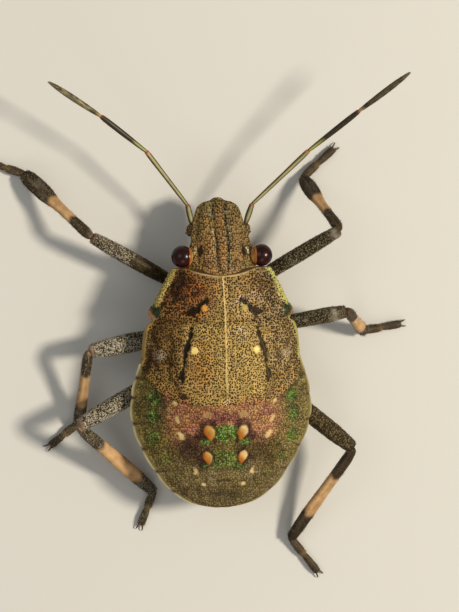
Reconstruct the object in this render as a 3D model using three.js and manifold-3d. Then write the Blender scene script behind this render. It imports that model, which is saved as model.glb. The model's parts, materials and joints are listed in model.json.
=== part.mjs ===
// A shield bug nymph in its last stage before adulthood, standing on six feet.
// Millimetres, +Z up, head towards -Y, the bug's own left towards +X.
// "Station" is the distance along the body from the tip of the head to the tail.
import * as THREE from "three";
import { mergeVertices } from "three/addons/utils/BufferGeometryUtils.js";
import Module from "manifold-3d";

const wasm = await Module();
wasm.setup();

// Driving dimensions of the body.
const BODY_LENGTH = 13.1;
const BODY_MIDDLE = 6.5;
const SEAM = 0.2;
const RIM_THICKNESS = 0.26;

// Half widths, back heights, edge heights and belly heights, each by station.
const HEAD_WIDTH = [
  [0, 0.22], [0.07, 0.42], [0.2, 0.76], [0.62, 1.03], [1.0, 1.14], [1.9, 1.24], [2.4, 1.46], [3.5, 1.48],
];
const HEAD_BACK = [[0, 2.2], [0.25, 2.38], [0.65, 2.6], [1.5, 2.96], [2.4, 3.24], [3.5, 3.42]];
const HEAD_EDGE = [[0, 2.1], [0.6, 2.24], [1.5, 2.46], [2.4, 2.68], [3.5, 2.78]];
const HEAD_THROAT = [[0, 2.0], [0.25, 1.94], [0.65, 1.86], [1.5, 1.76], [3.5, 1.74]];

const BODY_WIDTH = [
  [2.6, 1.95], [3.02, 2.17], [3.64, 2.49], [4.42, 2.89], [4.66, 3.08], [4.82, 3.12], [5.1, 2.95],
  [5.24, 3.14], [5.62, 3.29], [6.3, 3.37], [6.9, 3.42], [7.5, 3.62], [8.3, 3.78], [9.0, 3.82],
  [9.5, 3.74], [10.5, 3.38], [11.5, 2.8], [12.35, 2.13], [12.8, 1.5], [13.0, 0.92], [BODY_LENGTH, 0.3],
];
const BODY_BACK = [
  [2.6, 3.05], [3.26, 3.4], [4.0, 3.7], [5.2, 3.95], [6.5, 4.08], [8.0, 4.08],
  [9.5, 3.94], [11.0, 3.58], [12.3, 3.12], [12.9, 2.86], [BODY_LENGTH, 2.74],
];
const BODY_EDGE = [[2.6, 3.0], [3.6, 2.93], [4.8, 2.8], [6.5, 2.7], [9.0, 2.64], [BODY_LENGTH, 2.6]];
const BODY_BELLY = [
  [2.6, 2.1], [3.4, 1.7], [4.2, 1.4], [5.5, 1.24], [7.5, 1.14], [9.5, 1.16],
  [11.0, 1.34], [12.3, 1.78], [12.9, 2.2], [BODY_LENGTH, 2.44],
];

// The edge of the abdomen bulges between these stations, one lobe for each ring.
const LOBE_ENDS = [6.75, 7.49, 8.33, 9.43, 10.52, 11.49, 12.35];
const LOBE_BULGE = 0.07;
const STATION_STEP = 0.25;
const BODY_SIDES = 36;
const BACK_ROUND = 1.6;
const BELLY_ROUND = 2;

// The seams between the head, the prothorax, the winged thorax and the abdomen.
const COLLAR = { middle: 3.26, rise: 0.3, halfWidth: 1.46 };
const PROTHORAX_END = { middle: 5.22, rise: 0.1, halfWidth: 2.95 };
const WING_PADS = {
  start: 6.9,
  reach: 1.74,
  halfWidth: 3.4,
  bend: 3.2,
  round: 0.6,
  underside: 2.86,
  proud: 0.1,
};
const STERNUM_END = 7.8;

// A groove parts the scutellum from each wing pad. Side and station along it.
const PAD_GROOVE = {
  route: [[1.4, 5.3], [1.47, 5.9], [1.6, 6.35], [1.74, 6.9], [1.86, 7.45], [1.8, 8.3]],
  width: 0.22,
  depth: 0.12,
};

// Two low plates on the back of the abdomen carry the scent glands.
const GLAND_PLATES = [
  { station: 9.86, radii: [0.86, 0.36, 0.3], proud: 0.07 },
  { station: 10.96, radii: [0.78, 0.34, 0.3], proud: 0.06 },
];

const EYE = { side: 1.73, station: 2.42, height: 2.84, radii: [0.43, 0.46, 0.43], socketGap: 0.13 };
const TUBERCLE = { side: 1.02, station: 1.62, height: 2.2, radius: 0.32, tipRadius: 0.24 };
const TYLUS = { start: 0.05, end: 2.6, width: 0.62, endWidth: 0.3, tall: 0.3, proud: 0.07 };

// The beak lies folded back under the body.
const BEAK_ROUTE = [
  [0.62, 1.66], [0.95, 1.42], [2.0, 1.3], [3.2, 1.2], [4.2, 0.98], [5.4, 0.82], [6.9, 0.78],
];
const BEAK_DIAMETER = [0.44, 0.4, 0.3];

// Feeler joints as side, station and height. Four segments each.
const FEELER_JOINTS = {
  left: [
    [1.08, 1.12, 2.14], [1.3, 0.3, 2.35], [3.14, -2.03, 3.1], [5.1, -3.55, 3.6], [7.34, -5.03, 4.0],
  ],
  right: [
    [-1.2, 1.12, 2.14], [-1.44, 0.3, 2.4], [-3.71, -1.96, 3.3], [-5.74, -3.62, 4.0], [-7.81, -5.24, 4.7],
  ],
};
const FEELER_DIAMETERS = [[0.5, 0.5], [0.5, 0.5], [0.5, 0.5], [0.52, 0.2]];

// Hips are alike on both sides. Knees, ankles and toes are side, station and height.
const HIPS = { front: [0.86, 3.95], middle: [1.0, 5.75], hind: [1.06, 7.2] };
const HIP = { top: 1.5, out: 0.36, bottom: 1.0, radius: 0.34 };
const LEG_POSES = {
  front_left: { knee: [5.29, 1.61, 2.1], ankle: [7.98, -1.04, 0.4], toe: [9.48, -1.56, 0.2] },
  front_right: { knee: [-4.95, 1.44, 3.3], ankle: [-4.01, -0.66, 0.4], toe: [-5.4, -1.88, 0.2] },
  middle_left: { knee: [5.43, 6.38, 2.1], ankle: [5.8, 9.65, 0.4], toe: [6.99, 10.58, 0.2] },
  middle_right: { knee: [-5.29, 4.88, 3.0], ankle: [-6.63, 5.97, 0.4], toe: [-8.29, 5.72, 0.2] },
  hind_left: { knee: [6.0, 9.44, 2.6], ankle: [2.57, 12.66, 0.4], toe: [3.12, 14.1, 0.2] },
  hind_right: { knee: [-5.67, 10.72, 2.45], ankle: [-3.37, 14.84, 0.4], toe: [-4.58, 16.38, 0.2] },
};
// Widths run from the body outwards and are spread evenly along each piece.
const LEG_SIZES = {
  front: {
    femur: [0.44, 0.6, 0.64, 0.6, 0.5],
    femurTall: 0.58,
    tibia: [0.5, 0.5, 0.62, 0.78, 0.56],
    tibiaTall: 0.46,
  },
  middle: {
    femur: [0.44, 0.66, 0.76, 0.74, 0.54],
    femurTall: 0.62,
    tibia: [0.5, 0.5, 0.52, 0.54, 0.5],
    tibiaTall: 0.5,
  },
  hind: {
    femur: [0.44, 0.64, 0.74, 0.74, 0.54],
    femurTall: 0.62,
    tibia: [0.5, 0.5, 0.54, 0.56, 0.5],
    tibiaTall: 0.5,
  },
};
const TARSUS_WIDTHS = [0.46, 0.52, 0.42, 0.5, 0.46, 0.4];
const TARSUS_TALL = 0.44;
const CLAW = { length: 0.34, splay: 0.42, radius: 0.09, tipRadius: 0.03 };

const UP = new THREE.Vector3(0, 0, 1);
// Cutting blocks reach this far out and this high, past the whole body.
const WIDE = 12;
const CEILING = 6;

const COLOURS = {
  back: { color: 0x7d6a48, roughness: 0.6 },
  abdomen: { color: 0x5b4a3c, roughness: 0.55 },
  eye: { color: 0x35100f, roughness: 0.15 },
  leg: { color: 0x5a5046, roughness: 0.7 },
  shin: { color: 0xb08a5c, roughness: 0.6 },
  foot: { color: 0x2c2620, roughness: 0.6 },
  feeler: { color: 0x6d6526, roughness: 0.4 },
};

// A smooth curve through a short table, without overshoot.
function follow(table, at) {
  const last = table.length - 1;
  if (at <= table[0][0]) return table[0][1];
  if (at >= table[last][0]) return table[last][1];
  const rise = (i) => (table[i + 1][1] - table[i][1]) / (table[i + 1][0] - table[i][0]);
  const slope = (i) => {
    if (i === 0) return rise(0);
    if (i === last) return rise(last - 1);
    const before = rise(i - 1);
    const after = rise(i);
    return before * after <= 0 ? 0 : (2 * before * after) / (before + after);
  };
  const i = table.findIndex((row) => row[0] > at) - 1;
  const span = table[i + 1][0] - table[i][0];
  const t = (at - table[i][0]) / span;
  const t2 = t * t;
  const t3 = t2 * t;
  return (2 * t3 - 3 * t2 + 1) * table[i][1] + (t3 - 2 * t2 + t) * span * slope(i)
    + (3 * t2 - 2 * t3) * table[i + 1][1] + (t3 - t2) * span * slope(i + 1);
}

// A row of widths spread evenly over 0 to 1.
function spread(widths, t) {
  return follow(widths.map((width, i) => [i / (widths.length - 1), width]), t);
}

// Shared corners are merged, faces that collapse are dropped, and faces point out.
function closed(geometry) {
  const bare = geometry.clone();
  bare.deleteAttribute("normal");
  bare.deleteAttribute("uv");
  const grid = 1e4;
  const place = bare.attributes.position;
  place.array.forEach((value, i) => {
    place.array[i] = Math.round(value * grid) / grid;
  });
  const merged = mergeVertices(bare, 1 / grid);
  const corners = merged.index.array;
  const kept = [];
  const a = new THREE.Vector3();
  const b = new THREE.Vector3();
  const c = new THREE.Vector3();
  let volume = 0;
  for (let i = 0; i < corners.length; i += 3) {
    const [p, q, r] = [corners[i], corners[i + 1], corners[i + 2]];
    if (p === q || q === r || r === p) continue;
    kept.push(p, q, r);
    a.fromBufferAttribute(merged.attributes.position, p);
    b.fromBufferAttribute(merged.attributes.position, q);
    c.fromBufferAttribute(merged.attributes.position, r);
    volume += a.dot(b.cross(c));
  }
  if (volume < 0) {
    kept.reverse();
  }
  merged.setIndex(kept);
  return merged;
}

function solid(geometry) {
  const shape = closed(geometry);
  return new wasm.Manifold(new wasm.Mesh({
    numProp: 3,
    vertProperties: new Float32Array(shape.attributes.position.array),
    triVerts: new Uint32Array(shape.index.array),
  }));
}

// The largest closed surface of a joined or cut solid, as a geometry.
function surface(joined) {
  const pieces = joined.decompose();
  pieces.sort((one, other) => other.volume() - one.volume());
  const mesh = pieces[0].getMesh();
  const geometry = new THREE.BufferGeometry();
  geometry.setAttribute("position", new THREE.BufferAttribute(new Float32Array(mesh.vertProperties), 3));
  geometry.setIndex(Array.from(mesh.triVerts));
  return geometry;
}

// A cylinder whose every corner is moved: t along it, angle round it, reach 0 in the middle of an end.
function loft(rows, sides, place) {
  const geometry = new THREE.CylinderGeometry(1, 1, 1, sides, rows);
  const corners = geometry.attributes.position;
  for (let i = 0; i < corners.count; i += 1) {
    const reach = Math.hypot(corners.getX(i), corners.getZ(i));
    const angle = Math.atan2(corners.getX(i), corners.getZ(i));
    const point = place(0.5 - corners.getY(i), angle, reach);
    corners.setXYZ(i, point.x, point.y, point.z);
  }
  return geometry;
}

const at = ([side, station, height]) => new THREE.Vector3(side, station - BODY_MIDDLE, height);

// A flattened, keeled body: a sharp rim all round, a back above it and a belly below it.
function keeledBody(stations, sides, { width, back, edge, belly, backRound, bellyRound }) {
  return loft(stations.length - 1, sides, (t, angle, reach) => {
    const station = stations[Math.round(t * (stations.length - 1))];
    const rim = follow(edge, station);
    const rise = Math.sin(angle) * reach;
    const half = RIM_THICKNESS / 2;
    const above = Math.max(follow(back, station) - rim - half, 0) * Math.max(rise, 0) ** backRound;
    const below = Math.max(rim - half - follow(belly, station), 0) * Math.max(-rise, 0) ** bellyRound;
    const side = Math.cos(angle) * reach * width(station);
    return at([side, station, rim + half * rise + above - below]);
  });
}

// Where the rim stands out between two ring ends.
function lobe(station) {
  const i = LOBE_ENDS.findIndex((end, n) => station >= end && station < LOBE_ENDS[n + 1]);
  if (i < 0) return 0;
  const t = (station - LOBE_ENDS[i]) / (LOBE_ENDS[i + 1] - LOBE_ENDS[i]);
  return LOBE_BULGE * Math.sqrt(Math.max(4 * t * (1 - t), 0));
}

function steps(start, end, count) {
  return Array.from({ length: count + 1 }, (_, i) => start + ((end - start) * i) / count);
}

// Rows close together where the outline turns, even elsewhere.
function bodyStations() {
  const rows = [2.6, 2.85, 3.02, 3.3, 3.64, 4.0, 4.42, 4.66, 4.82, 4.98, 5.1, 5.24, 5.45, 5.7, 6.0, 6.35];
  for (let i = 0; i + 1 < LOBE_ENDS.length; i += 1) {
    const count = Math.round((LOBE_ENDS[i + 1] - LOBE_ENDS[i]) / STATION_STEP);
    rows.push(...steps(LOBE_ENDS[i], LOBE_ENDS[i + 1], count).slice(0, -1));
  }
  rows.push(12.35, 12.6, 12.8, 12.93, 13.02, BODY_LENGTH);
  return rows;
}

function bodyShell(proud) {
  return solid(keeledBody(bodyStations(), BODY_SIDES, {
    width: (station) => follow(BODY_WIDTH, station) + lobe(station),
    back: BODY_BACK.map(([station, height]) => {
      const extra = station > PROTHORAX_END.middle ? proud : 0;
      return [station, height + extra];
    }),
    edge: BODY_EDGE,
    belly: BODY_BELLY,
    backRound: BACK_ROUND,
    bellyRound: BELLY_ROUND,
  }));
}

// A block that holds everything in front of an outline, from one height up to another.
function inFrontOf(outline, floor, ceiling) {
  const shape = new THREE.Shape();
  shape.moveTo(-WIDE, -WIDE);
  shape.lineTo(WIDE, -WIDE);
  const count = 28;
  for (let i = 0; i <= count; i += 1) {
    const side = outline.near * (1 - (2 * i) / count);
    const atEnd = i === 0 || i === count;
    shape.lineTo(atEnd ? Math.sign(side) * WIDE : side, outline.station(Math.abs(side)) - BODY_MIDDLE);
  }
  const block = new THREE.ExtrudeGeometry(shape, { depth: ceiling - floor, bevelEnabled: false, steps: 1 });
  return solid(block.translate(0, 0, floor));
}

// The collar and the rear edge of the prothorax bow backwards in the middle.
function bowedSeam({ middle, rise, halfWidth }, shift) {
  return {
    near: halfWidth * 2,
    station: (side) => middle - rise * Math.min(1, side / halfWidth) ** 2 + shift,
  };
}

function straightSeam(station) {
  return { near: WIDE, station: () => station };
}

// The wing pads and the scutellum end in one rounded line across the abdomen.
function padOutline(shift) {
  const { start, reach, halfWidth, bend, round } = WING_PADS;
  const reachOut = halfWidth + shift;
  return {
    near: reachOut,
    station: (side) => start + (reach + shift) * Math.max(1 - (side / reachOut) ** bend, 0) ** round,
  };
}

// A straight or bent limb along a few points, with faces that can lie on a given plane at each end.
function limb({ route, wide, tall, rows, sides, startFace, endFace }) {
  const curve = new THREE.CatmullRomCurve3(route, false, "centripetal");
  return loft(rows, sides, (t, angle, reach) => {
    const middle = curve.getPointAt(t);
    const ahead = curve.getTangentAt(t);
    const side = new THREE.Vector3().crossVectors(ahead, UP).normalize();
    const lift = new THREE.Vector3().crossVectors(side, ahead);
    const point = middle
      .addScaledVector(side, (Math.cos(angle) * reach * wide(t)) / 2)
      .addScaledVector(lift, (Math.sin(angle) * reach * tall(t)) / 2);
    const face = t === 0 ? startFace : t === 1 ? endFace : undefined;
    if (face) {
      const gap = face.point.clone().sub(point).dot(face.normal) / ahead.dot(face.normal);
      point.addScaledVector(ahead, gap);
    }
    point.z = Math.max(point.z, 0);
    return point;
  });
}

// Two limbs that bend at a joint meet on the plane that halves the bend, half a seam away each.
function bendPlane(before, joint, after) {
  const inward = joint.clone().sub(before).normalize();
  const outward = after.clone().sub(joint).normalize();
  const normal = inward.add(outward).normalize();
  return {
    near: { point: joint.clone().addScaledVector(normal, -SEAM / 2), normal },
    far: { point: joint.clone().addScaledVector(normal, SEAM / 2), normal },
  };
}

function part(name, geometry, colour) {
  const mesh = new THREE.Mesh(closed(geometry), new THREE.MeshStandardMaterial(COLOURS[colour]));
  mesh.name = name;
  return mesh;
}

function ellipsoid(centre, radii, wideSegments, highSegments) {
  const ball = new THREE.SphereGeometry(1, wideSegments, highSegments);
  return ball.rotateX(Math.PI / 2).scale(...radii).translate(centre.x, centre.y, centre.z);
}

const eyeCentre = (sign) => at([sign * EYE.side, EYE.station, EYE.height]);

function head() {
  const stations = [0, 0.07, 0.2, 0.4, 0.62, 0.85, 1.1, 1.4, 1.7, 2.0, 2.3, 2.6, 2.9, 3.2, 3.5];
  let joined = solid(keeledBody(stations, 32, {
    width: (station) => follow(HEAD_WIDTH, station),
    back: HEAD_BACK,
    edge: HEAD_EDGE,
    belly: HEAD_THROAT,
    backRound: 1.5,
    bellyRound: 1.5,
  }));
  joined = joined.add(tylus());
  for (const sign of [-1, 1]) {
    joined = joined.add(tubercle(sign));
    const socket = EYE.radii.map((radius) => radius + EYE.socketGap);
    joined = joined.subtract(solid(ellipsoid(eyeCentre(sign), socket, 20, 12)));
  }
  joined = joined.intersect(inFrontOf(bowedSeam(COLLAR, -SEAM / 2), 0, CEILING));
  return part("head", surface(joined), "back");
}

// The raised middle strip of the head between two grooves.
function tylus() {
  const count = 7;
  const stations = steps(TYLUS.start, TYLUS.end, count);
  return solid(loft(count, 8, (t, angle, reach) => {
    const station = stations[Math.round(t * count)];
    const half = THREE.MathUtils.lerp(TYLUS.width, TYLUS.endWidth, t) / 2;
    const centre = follow(HEAD_BACK, station) + TYLUS.proud - TYLUS.tall / 2;
    const height = centre + (Math.sin(angle) * reach * TYLUS.tall) / 2;
    return at([Math.cos(angle) * reach * half, station, height]);
  }));
}

// The knob at each side of the head that a feeler stands on.
function tubercle(sign) {
  const joint = at(FEELER_JOINTS[sign > 0 ? "left" : "right"][0]);
  const root = at([sign * TUBERCLE.side, TUBERCLE.station, TUBERCLE.height]);
  return solid(limb({
    route: [root, joint],
    wide: (t) => 2 * THREE.MathUtils.lerp(TUBERCLE.radius, TUBERCLE.tipRadius, t),
    tall: (t) => 2 * THREE.MathUtils.lerp(TUBERCLE.radius, TUBERCLE.tipRadius, t),
    rows: 2,
    sides: 10,
  }));
}

function eyes() {
  return [1, -1].map((sign) =>
    part(sign > 0 ? "eye_left" : "eye_right", ellipsoid(eyeCentre(sign), EYE.radii, 20, 12), "eye"));
}

function beak() {
  const route = BEAK_ROUTE.map(([station, height]) => at([0, station, height]));
  const curve = new THREE.CatmullRomCurve3(route, false, "centripetal");
  const shape = loft(16, 8, (t, angle, reach) => {
    const radius = (spread(BEAK_DIAMETER, t) / 2) * reach;
    const ahead = curve.getTangentAt(t);
    const lift = new THREE.Vector3(0, -ahead.z, ahead.y);
    return curve.getPointAt(t)
      .add(new THREE.Vector3(Math.cos(angle) * radius, 0, 0))
      .addScaledVector(lift, Math.sin(angle) * radius);
  });
  return part("rostrum", shape, "feeler");
}

// Each feeler segment keeps half a seam from the joint at either end.
function feeler(side) {
  const joints = FEELER_JOINTS[side].map(at);
  return FEELER_DIAMETERS.map(([start, end], i) => {
    const ahead = joints[i + 1].clone().sub(joints[i]).normalize();
    const first = joints[i].clone().addScaledVector(ahead, i === 0 ? SEAM : SEAM / 2);
    const last = joints[i + 1].clone().addScaledVector(ahead, i === 3 ? 0 : -SEAM / 2);
    const thick = (t) => THREE.MathUtils.lerp(start, end, t ** 3);
    const shape = limb({ route: [first, last], wide: thick, tall: thick, rows: 5, sides: 8 });
    return part(`antenna_${side}_${i + 1}`, shape, "feeler");
  });
}

function hipJoint(pair, sign) {
  const [side, station] = HIPS[pair];
  return at([sign * (side + HIP.out), station, HIP.bottom]);
}

// The short hip cone that stands out of the underside for each leg.
function hip(pair, sign) {
  const [side, station] = HIPS[pair];
  return solid(limb({
    route: [at([sign * side, station, HIP.top]), hipJoint(pair, sign)],
    wide: (t) => 2 * HIP.radius * (1 - 0.25 * t),
    tall: (t) => 2 * HIP.radius * (1 - 0.25 * t),
    rows: 2,
    sides: 10,
  }));
}

function prothorax(shell) {
  let joined = shell.subtract(inFrontOf(bowedSeam(COLLAR, SEAM / 2), 0, CEILING));
  joined = joined.intersect(inFrontOf(bowedSeam(PROTHORAX_END, -SEAM / 2), 0, CEILING));
  for (const sign of [-1, 1]) {
    joined = joined.add(hip("front", sign));
  }
  return part("pronotum", surface(joined), "back");
}

// The middle and hind thorax are whole below, and above they reach back as scutellum and wing pads.
function wingedThorax(shell, proudShell) {
  const behindProthorax = inFrontOf(bowedSeam(PROTHORAX_END, SEAM / 2), 0, CEILING);
  const sternum = inFrontOf(straightSeam(STERNUM_END - SEAM / 2), 0, WING_PADS.underside + SEAM);
  const trunk = shell.intersect(sternum);
  const padLayer = proudShell.intersect(inFrontOf(padOutline(0), WING_PADS.underside, CEILING));
  const front = proudShell.intersect(inFrontOf(straightSeam(WING_PADS.start), 0, CEILING));
  let joined = trunk.add(padLayer).add(front).subtract(behindProthorax);
  for (const sign of [-1, 1]) {
    joined = joined.subtract(padGroove(sign));
    joined = joined.add(hip("middle", sign)).add(hip("hind", sign));
  }
  return part("mesothorax", surface(joined), "back");
}

function padGroove(sign) {
  const route = PAD_GROOVE.route.map(([side, station]) => {
    const halfWidth = follow(BODY_WIDTH, station);
    const height = backHeight(side / halfWidth, station) + WING_PADS.proud;
    return at([sign * side, station, height]);
  });
  return solid(limb({
    route,
    wide: () => PAD_GROOVE.width,
    tall: () => 2 * PAD_GROOVE.depth,
    rows: 8,
    sides: 6,
  }));
}

// The height of the back at a fraction of the half width.
function backHeight(fraction, station) {
  const rise = Math.sqrt(1 - fraction * fraction);
  const rim = follow(BODY_EDGE, station);
  const half = RIM_THICKNESS / 2;
  return rim + half * rise + (follow(BODY_BACK, station) - rim - half) * rise ** BACK_ROUND;
}

function abdomen(shell) {
  const below = inFrontOf(straightSeam(STERNUM_END + SEAM / 2), 0, WING_PADS.underside);
  const above = inFrontOf(padOutline(SEAM), WING_PADS.underside - SEAM, CEILING);
  let joined = shell.subtract(below).subtract(above);
  for (const { station, radii, proud } of GLAND_PLATES) {
    const centre = at([0, station, backHeight(0, station) + proud - radii[2]]);
    joined = joined.add(solid(ellipsoid(centre, radii, 16, 8)));
  }
  return part("abdomen", surface(joined), "abdomen");
}

function claws(ankle, toe) {
  const ahead = toe.clone().sub(ankle).setZ(0).normalize();
  return [-1, 1].map((sign) => {
    const turned = ahead.clone().applyAxisAngle(UP, sign * CLAW.splay);
    const root = toe.clone().addScaledVector(ahead, -0.12);
    const tip = toe.clone().addScaledVector(turned, CLAW.length).setZ(CLAW.tipRadius + 0.02);
    const thick = (t) => 2 * THREE.MathUtils.lerp(CLAW.radius, CLAW.tipRadius, t);
    return solid(limb({ route: [root, tip], wide: thick, tall: thick, rows: 2, sides: 6 }));
  });
}

function leg(name) {
  const [pair, side] = name.split("_");
  const sizes = LEG_SIZES[pair];
  const pose = LEG_POSES[name];
  const hipEnd = hipJoint(pair, side === "left" ? 1 : -1);
  const knee = at(pose.knee);
  const ankle = at(pose.ankle);
  const toe = at(pose.toe);
  const outward = knee.clone().sub(hipEnd).normalize();
  const start = hipEnd.clone().addScaledVector(outward, SEAM);
  const kneePlane = bendPlane(start, knee, ankle);
  const anklePlane = bendPlane(knee, ankle, toe);
  const femur = limb({
    route: [start, knee],
    wide: (t) => spread(sizes.femur, t),
    tall: (t) => spread([0.4, sizes.femurTall, sizes.femurTall, 0.5], t),
    rows: 7,
    sides: 10,
    endFace: kneePlane.near,
  });
  const tibia = limb({
    route: [knee, ankle],
    wide: (t) => spread(sizes.tibia, t),
    tall: () => sizes.tibiaTall,
    rows: 8,
    sides: 10,
    startFace: kneePlane.far,
    endFace: anklePlane.near,
  });
  const foot = limb({
    route: [ankle, toe],
    wide: (t) => spread(TARSUS_WIDTHS, t),
    tall: () => TARSUS_TALL,
    rows: 7,
    sides: 10,
    startFace: anklePlane.far,
  });
  const tarsus = claws(ankle, toe).reduce((joined, claw) => joined.add(claw), solid(foot));
  return [
    part(`femur_${name}`, femur, "leg"),
    part(`tibia_${name}`, tibia, "shin"),
    part(`tarsus_${name}`, surface(tarsus), "foot"),
  ];
}

const shell = bodyShell(0);
const model = new THREE.Group();
model.add(head(), ...eyes(), beak(), ...feeler("left"), ...feeler("right"));
model.add(prothorax(shell), wingedThorax(shell, bodyShell(WING_PADS.proud)), abdomen(shell));
for (const name of Object.keys(LEG_POSES)) {
  model.add(...leg(name));
}

// The origin is under the middle of the whole bug, on the floor.
const extent = new THREE.Box3().setFromObject(model);
const middle = extent.getCenter(new THREE.Vector3());
model.position.set(-middle.x, -middle.y, -extent.min.z);

const group = new THREE.Group();
group.add(model);

export default group;
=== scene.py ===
# %% [markdown]
# # A shield bug nymph, dressed for a museum case
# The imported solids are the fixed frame: they hold every part at its real size. This script lays fine
# shells over them, paints the shells by formula, and lights them. Lengths in the helpers are in
# millimetres, in the bug's own measures: side (its left is positive), station (distance from the tip
# of the head) and height above the floor. One function turns them into Blender's metres.

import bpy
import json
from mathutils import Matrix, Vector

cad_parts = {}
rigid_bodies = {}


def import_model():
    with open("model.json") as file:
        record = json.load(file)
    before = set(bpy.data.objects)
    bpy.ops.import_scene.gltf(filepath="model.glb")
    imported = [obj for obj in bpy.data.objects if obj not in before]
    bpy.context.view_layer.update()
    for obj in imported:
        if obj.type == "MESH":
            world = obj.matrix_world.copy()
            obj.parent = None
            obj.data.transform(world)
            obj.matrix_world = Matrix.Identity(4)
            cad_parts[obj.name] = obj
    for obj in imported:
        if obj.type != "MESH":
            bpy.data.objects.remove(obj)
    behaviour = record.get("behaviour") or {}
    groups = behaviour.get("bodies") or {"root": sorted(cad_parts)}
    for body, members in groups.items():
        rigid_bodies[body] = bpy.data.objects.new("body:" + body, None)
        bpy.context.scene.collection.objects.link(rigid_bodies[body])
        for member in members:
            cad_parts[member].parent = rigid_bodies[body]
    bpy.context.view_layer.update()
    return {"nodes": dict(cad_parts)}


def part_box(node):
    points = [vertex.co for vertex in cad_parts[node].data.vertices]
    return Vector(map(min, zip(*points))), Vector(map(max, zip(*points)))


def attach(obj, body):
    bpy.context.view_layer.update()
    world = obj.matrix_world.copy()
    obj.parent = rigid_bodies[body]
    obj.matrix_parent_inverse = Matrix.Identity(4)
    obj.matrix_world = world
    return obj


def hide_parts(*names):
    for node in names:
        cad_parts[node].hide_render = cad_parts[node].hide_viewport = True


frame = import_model()
print("nodes in the frame:", len(frame["nodes"]))

# %% Other modules
import json
import math

import bpy
import numpy as np
from mathutils import Matrix, Vector

# %% [markdown]
# ## The bug's own measures
# The abdomen's solid is symmetrical and ends at the tail, so its box gives the body's middle plane and
# the last station. From those two values each point of the body can be placed.

# %% Body measures to metres
MM = 0.001
BODY_LENGTH = 13.1
abdomen_low, abdomen_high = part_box("abdomen")
MIDDLE_X = (abdomen_low.x + abdomen_high.x) / 2
TAIL_Y = abdomen_high.y


def metres(points):
    """Side, station and height in millimetres, as an array, to x, y and z in metres."""
    points = np.asarray(points, float)
    place = points * MM
    place[..., 0] += MIDDLE_X
    place[..., 1] += TAIL_Y - BODY_LENGTH * MM
    return place


def body_point(side, station, height):
    return Vector(metres([side, station, height]))


print("middle plane at x = %.5f m, tail at y = %.5f m" % (MIDDLE_X, TAIL_Y))

# %% [markdown]
# ## The camera
# The photo looks straight down on the bug, but for a few degrees. A camera could be turned by hand until
# the outlines match. Here its view is given by two leans, a small roll and the real size of a pixel, so
# that each of them can be read and changed alone. It stands far off for the bug's size, which keeps the
# view flat, as a long lens does.

# %% Camera
SHOWN_LENGTH = 13.0
SHOWN_PIXELS = 309.0
PIXEL = SHOWN_LENGTH / SHOWN_PIXELS
PICTURE_HEIGHT = 612
LEAN_LEFT = math.radians(9.5)
LEAN_HEAD = math.radians(5.0)
ROLL = math.radians(0.5)
DISTANCE = 170.0
SENSOR = 36.0
NEAREST = 0.001
LOOKED_AT = body_point(-0.342, 4.531, 3.0)

scene = bpy.context.scene
towards = Vector((math.tan(LEAN_LEFT), -math.tan(LEAN_HEAD), 1.0)).normalized()
right = (-towards).cross(Vector((0, -1, 0))).normalized()
up = right.cross(-towards)
rolled_right = right * math.cos(ROLL) - up * math.sin(ROLL)
rolled_up = up * math.cos(ROLL) + right * math.sin(ROLL)
turned = Matrix((rolled_right, rolled_up, towards)).transposed()
camera = bpy.data.objects.new("camera", bpy.data.cameras.new("camera"))
scene.collection.objects.link(camera)
camera.data.sensor_width = SENSOR
camera.data.lens = SENSOR * DISTANCE / (PICTURE_HEIGHT * PIXEL)
camera.data.clip_start = NEAREST
camera.matrix_world = Matrix.Translation(LOOKED_AT + towards * DISTANCE * MM) @ turned.to_4x4()
scene.camera = camera
print("lens %.0f mm" % camera.data.lens)

# %% [markdown]
# ## Floor and light
# A museum shows such an insect on a plain pale ground. One large square does for it. A key light stands at
# the bug's right, where the sun stood in the photo. Its disk is small, for clear shadows. A wide cool fill
# and a bright sky keep the shadows open, and a lamp behind the bug serves the views from the back.


# %% Floor
def new_material(name):
    """A material, its node tree and its shader."""
    material = bpy.data.materials.new(name)
    material.use_nodes = True
    return material, material.node_tree, material.node_tree.nodes["Principled BSDF"]


FLOOR_HALF = 1.0
FLOOR_CORNERS = [(-1, -1), (1, -1), (1, 1), (-1, 1)]
floor_finish, _, shader = new_material("floor")
shader.inputs["Base Color"].default_value = (0.5, 0.49, 0.46, 1)
shader.inputs["Roughness"].default_value = 0.85
floor_mesh = bpy.data.meshes.new("floor")
floor_mesh.from_pydata([(x * FLOOR_HALF, y * FLOOR_HALF, 0) for x, y in FLOOR_CORNERS], [], [(0, 1, 2, 3)])
floor_mesh.materials.append(floor_finish)
floor = bpy.data.objects.new("floor", floor_mesh)
scene.collection.objects.link(floor)
print("floor: %.0f m across" % (2 * FLOOR_HALF))


# %% Lights
def area_light(name, azimuth, elevation, distance, size, power, colour):
    """A soft light that looks at the bug. Azimuth 0 is at the head, and 90 at the bug's left."""
    lamp = bpy.data.lights.new(name, "AREA")
    lamp.shape = "DISK"
    lamp.size = size
    lamp.energy = power
    lamp.color = colour
    light = bpy.data.objects.new(name, lamp)
    a, e = math.radians(azimuth), math.radians(elevation)
    way = Vector((math.sin(a) * math.cos(e), -math.cos(a) * math.cos(e), math.sin(e)))
    light.location = LOOKED_AT + way * distance
    light.rotation_euler = way.to_track_quat("Z", "Y").to_euler()
    scene.collection.objects.link(light)
    print("%s light: %.2f W from %d degrees, %d degrees up" % (name, power, azimuth, elevation))


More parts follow.
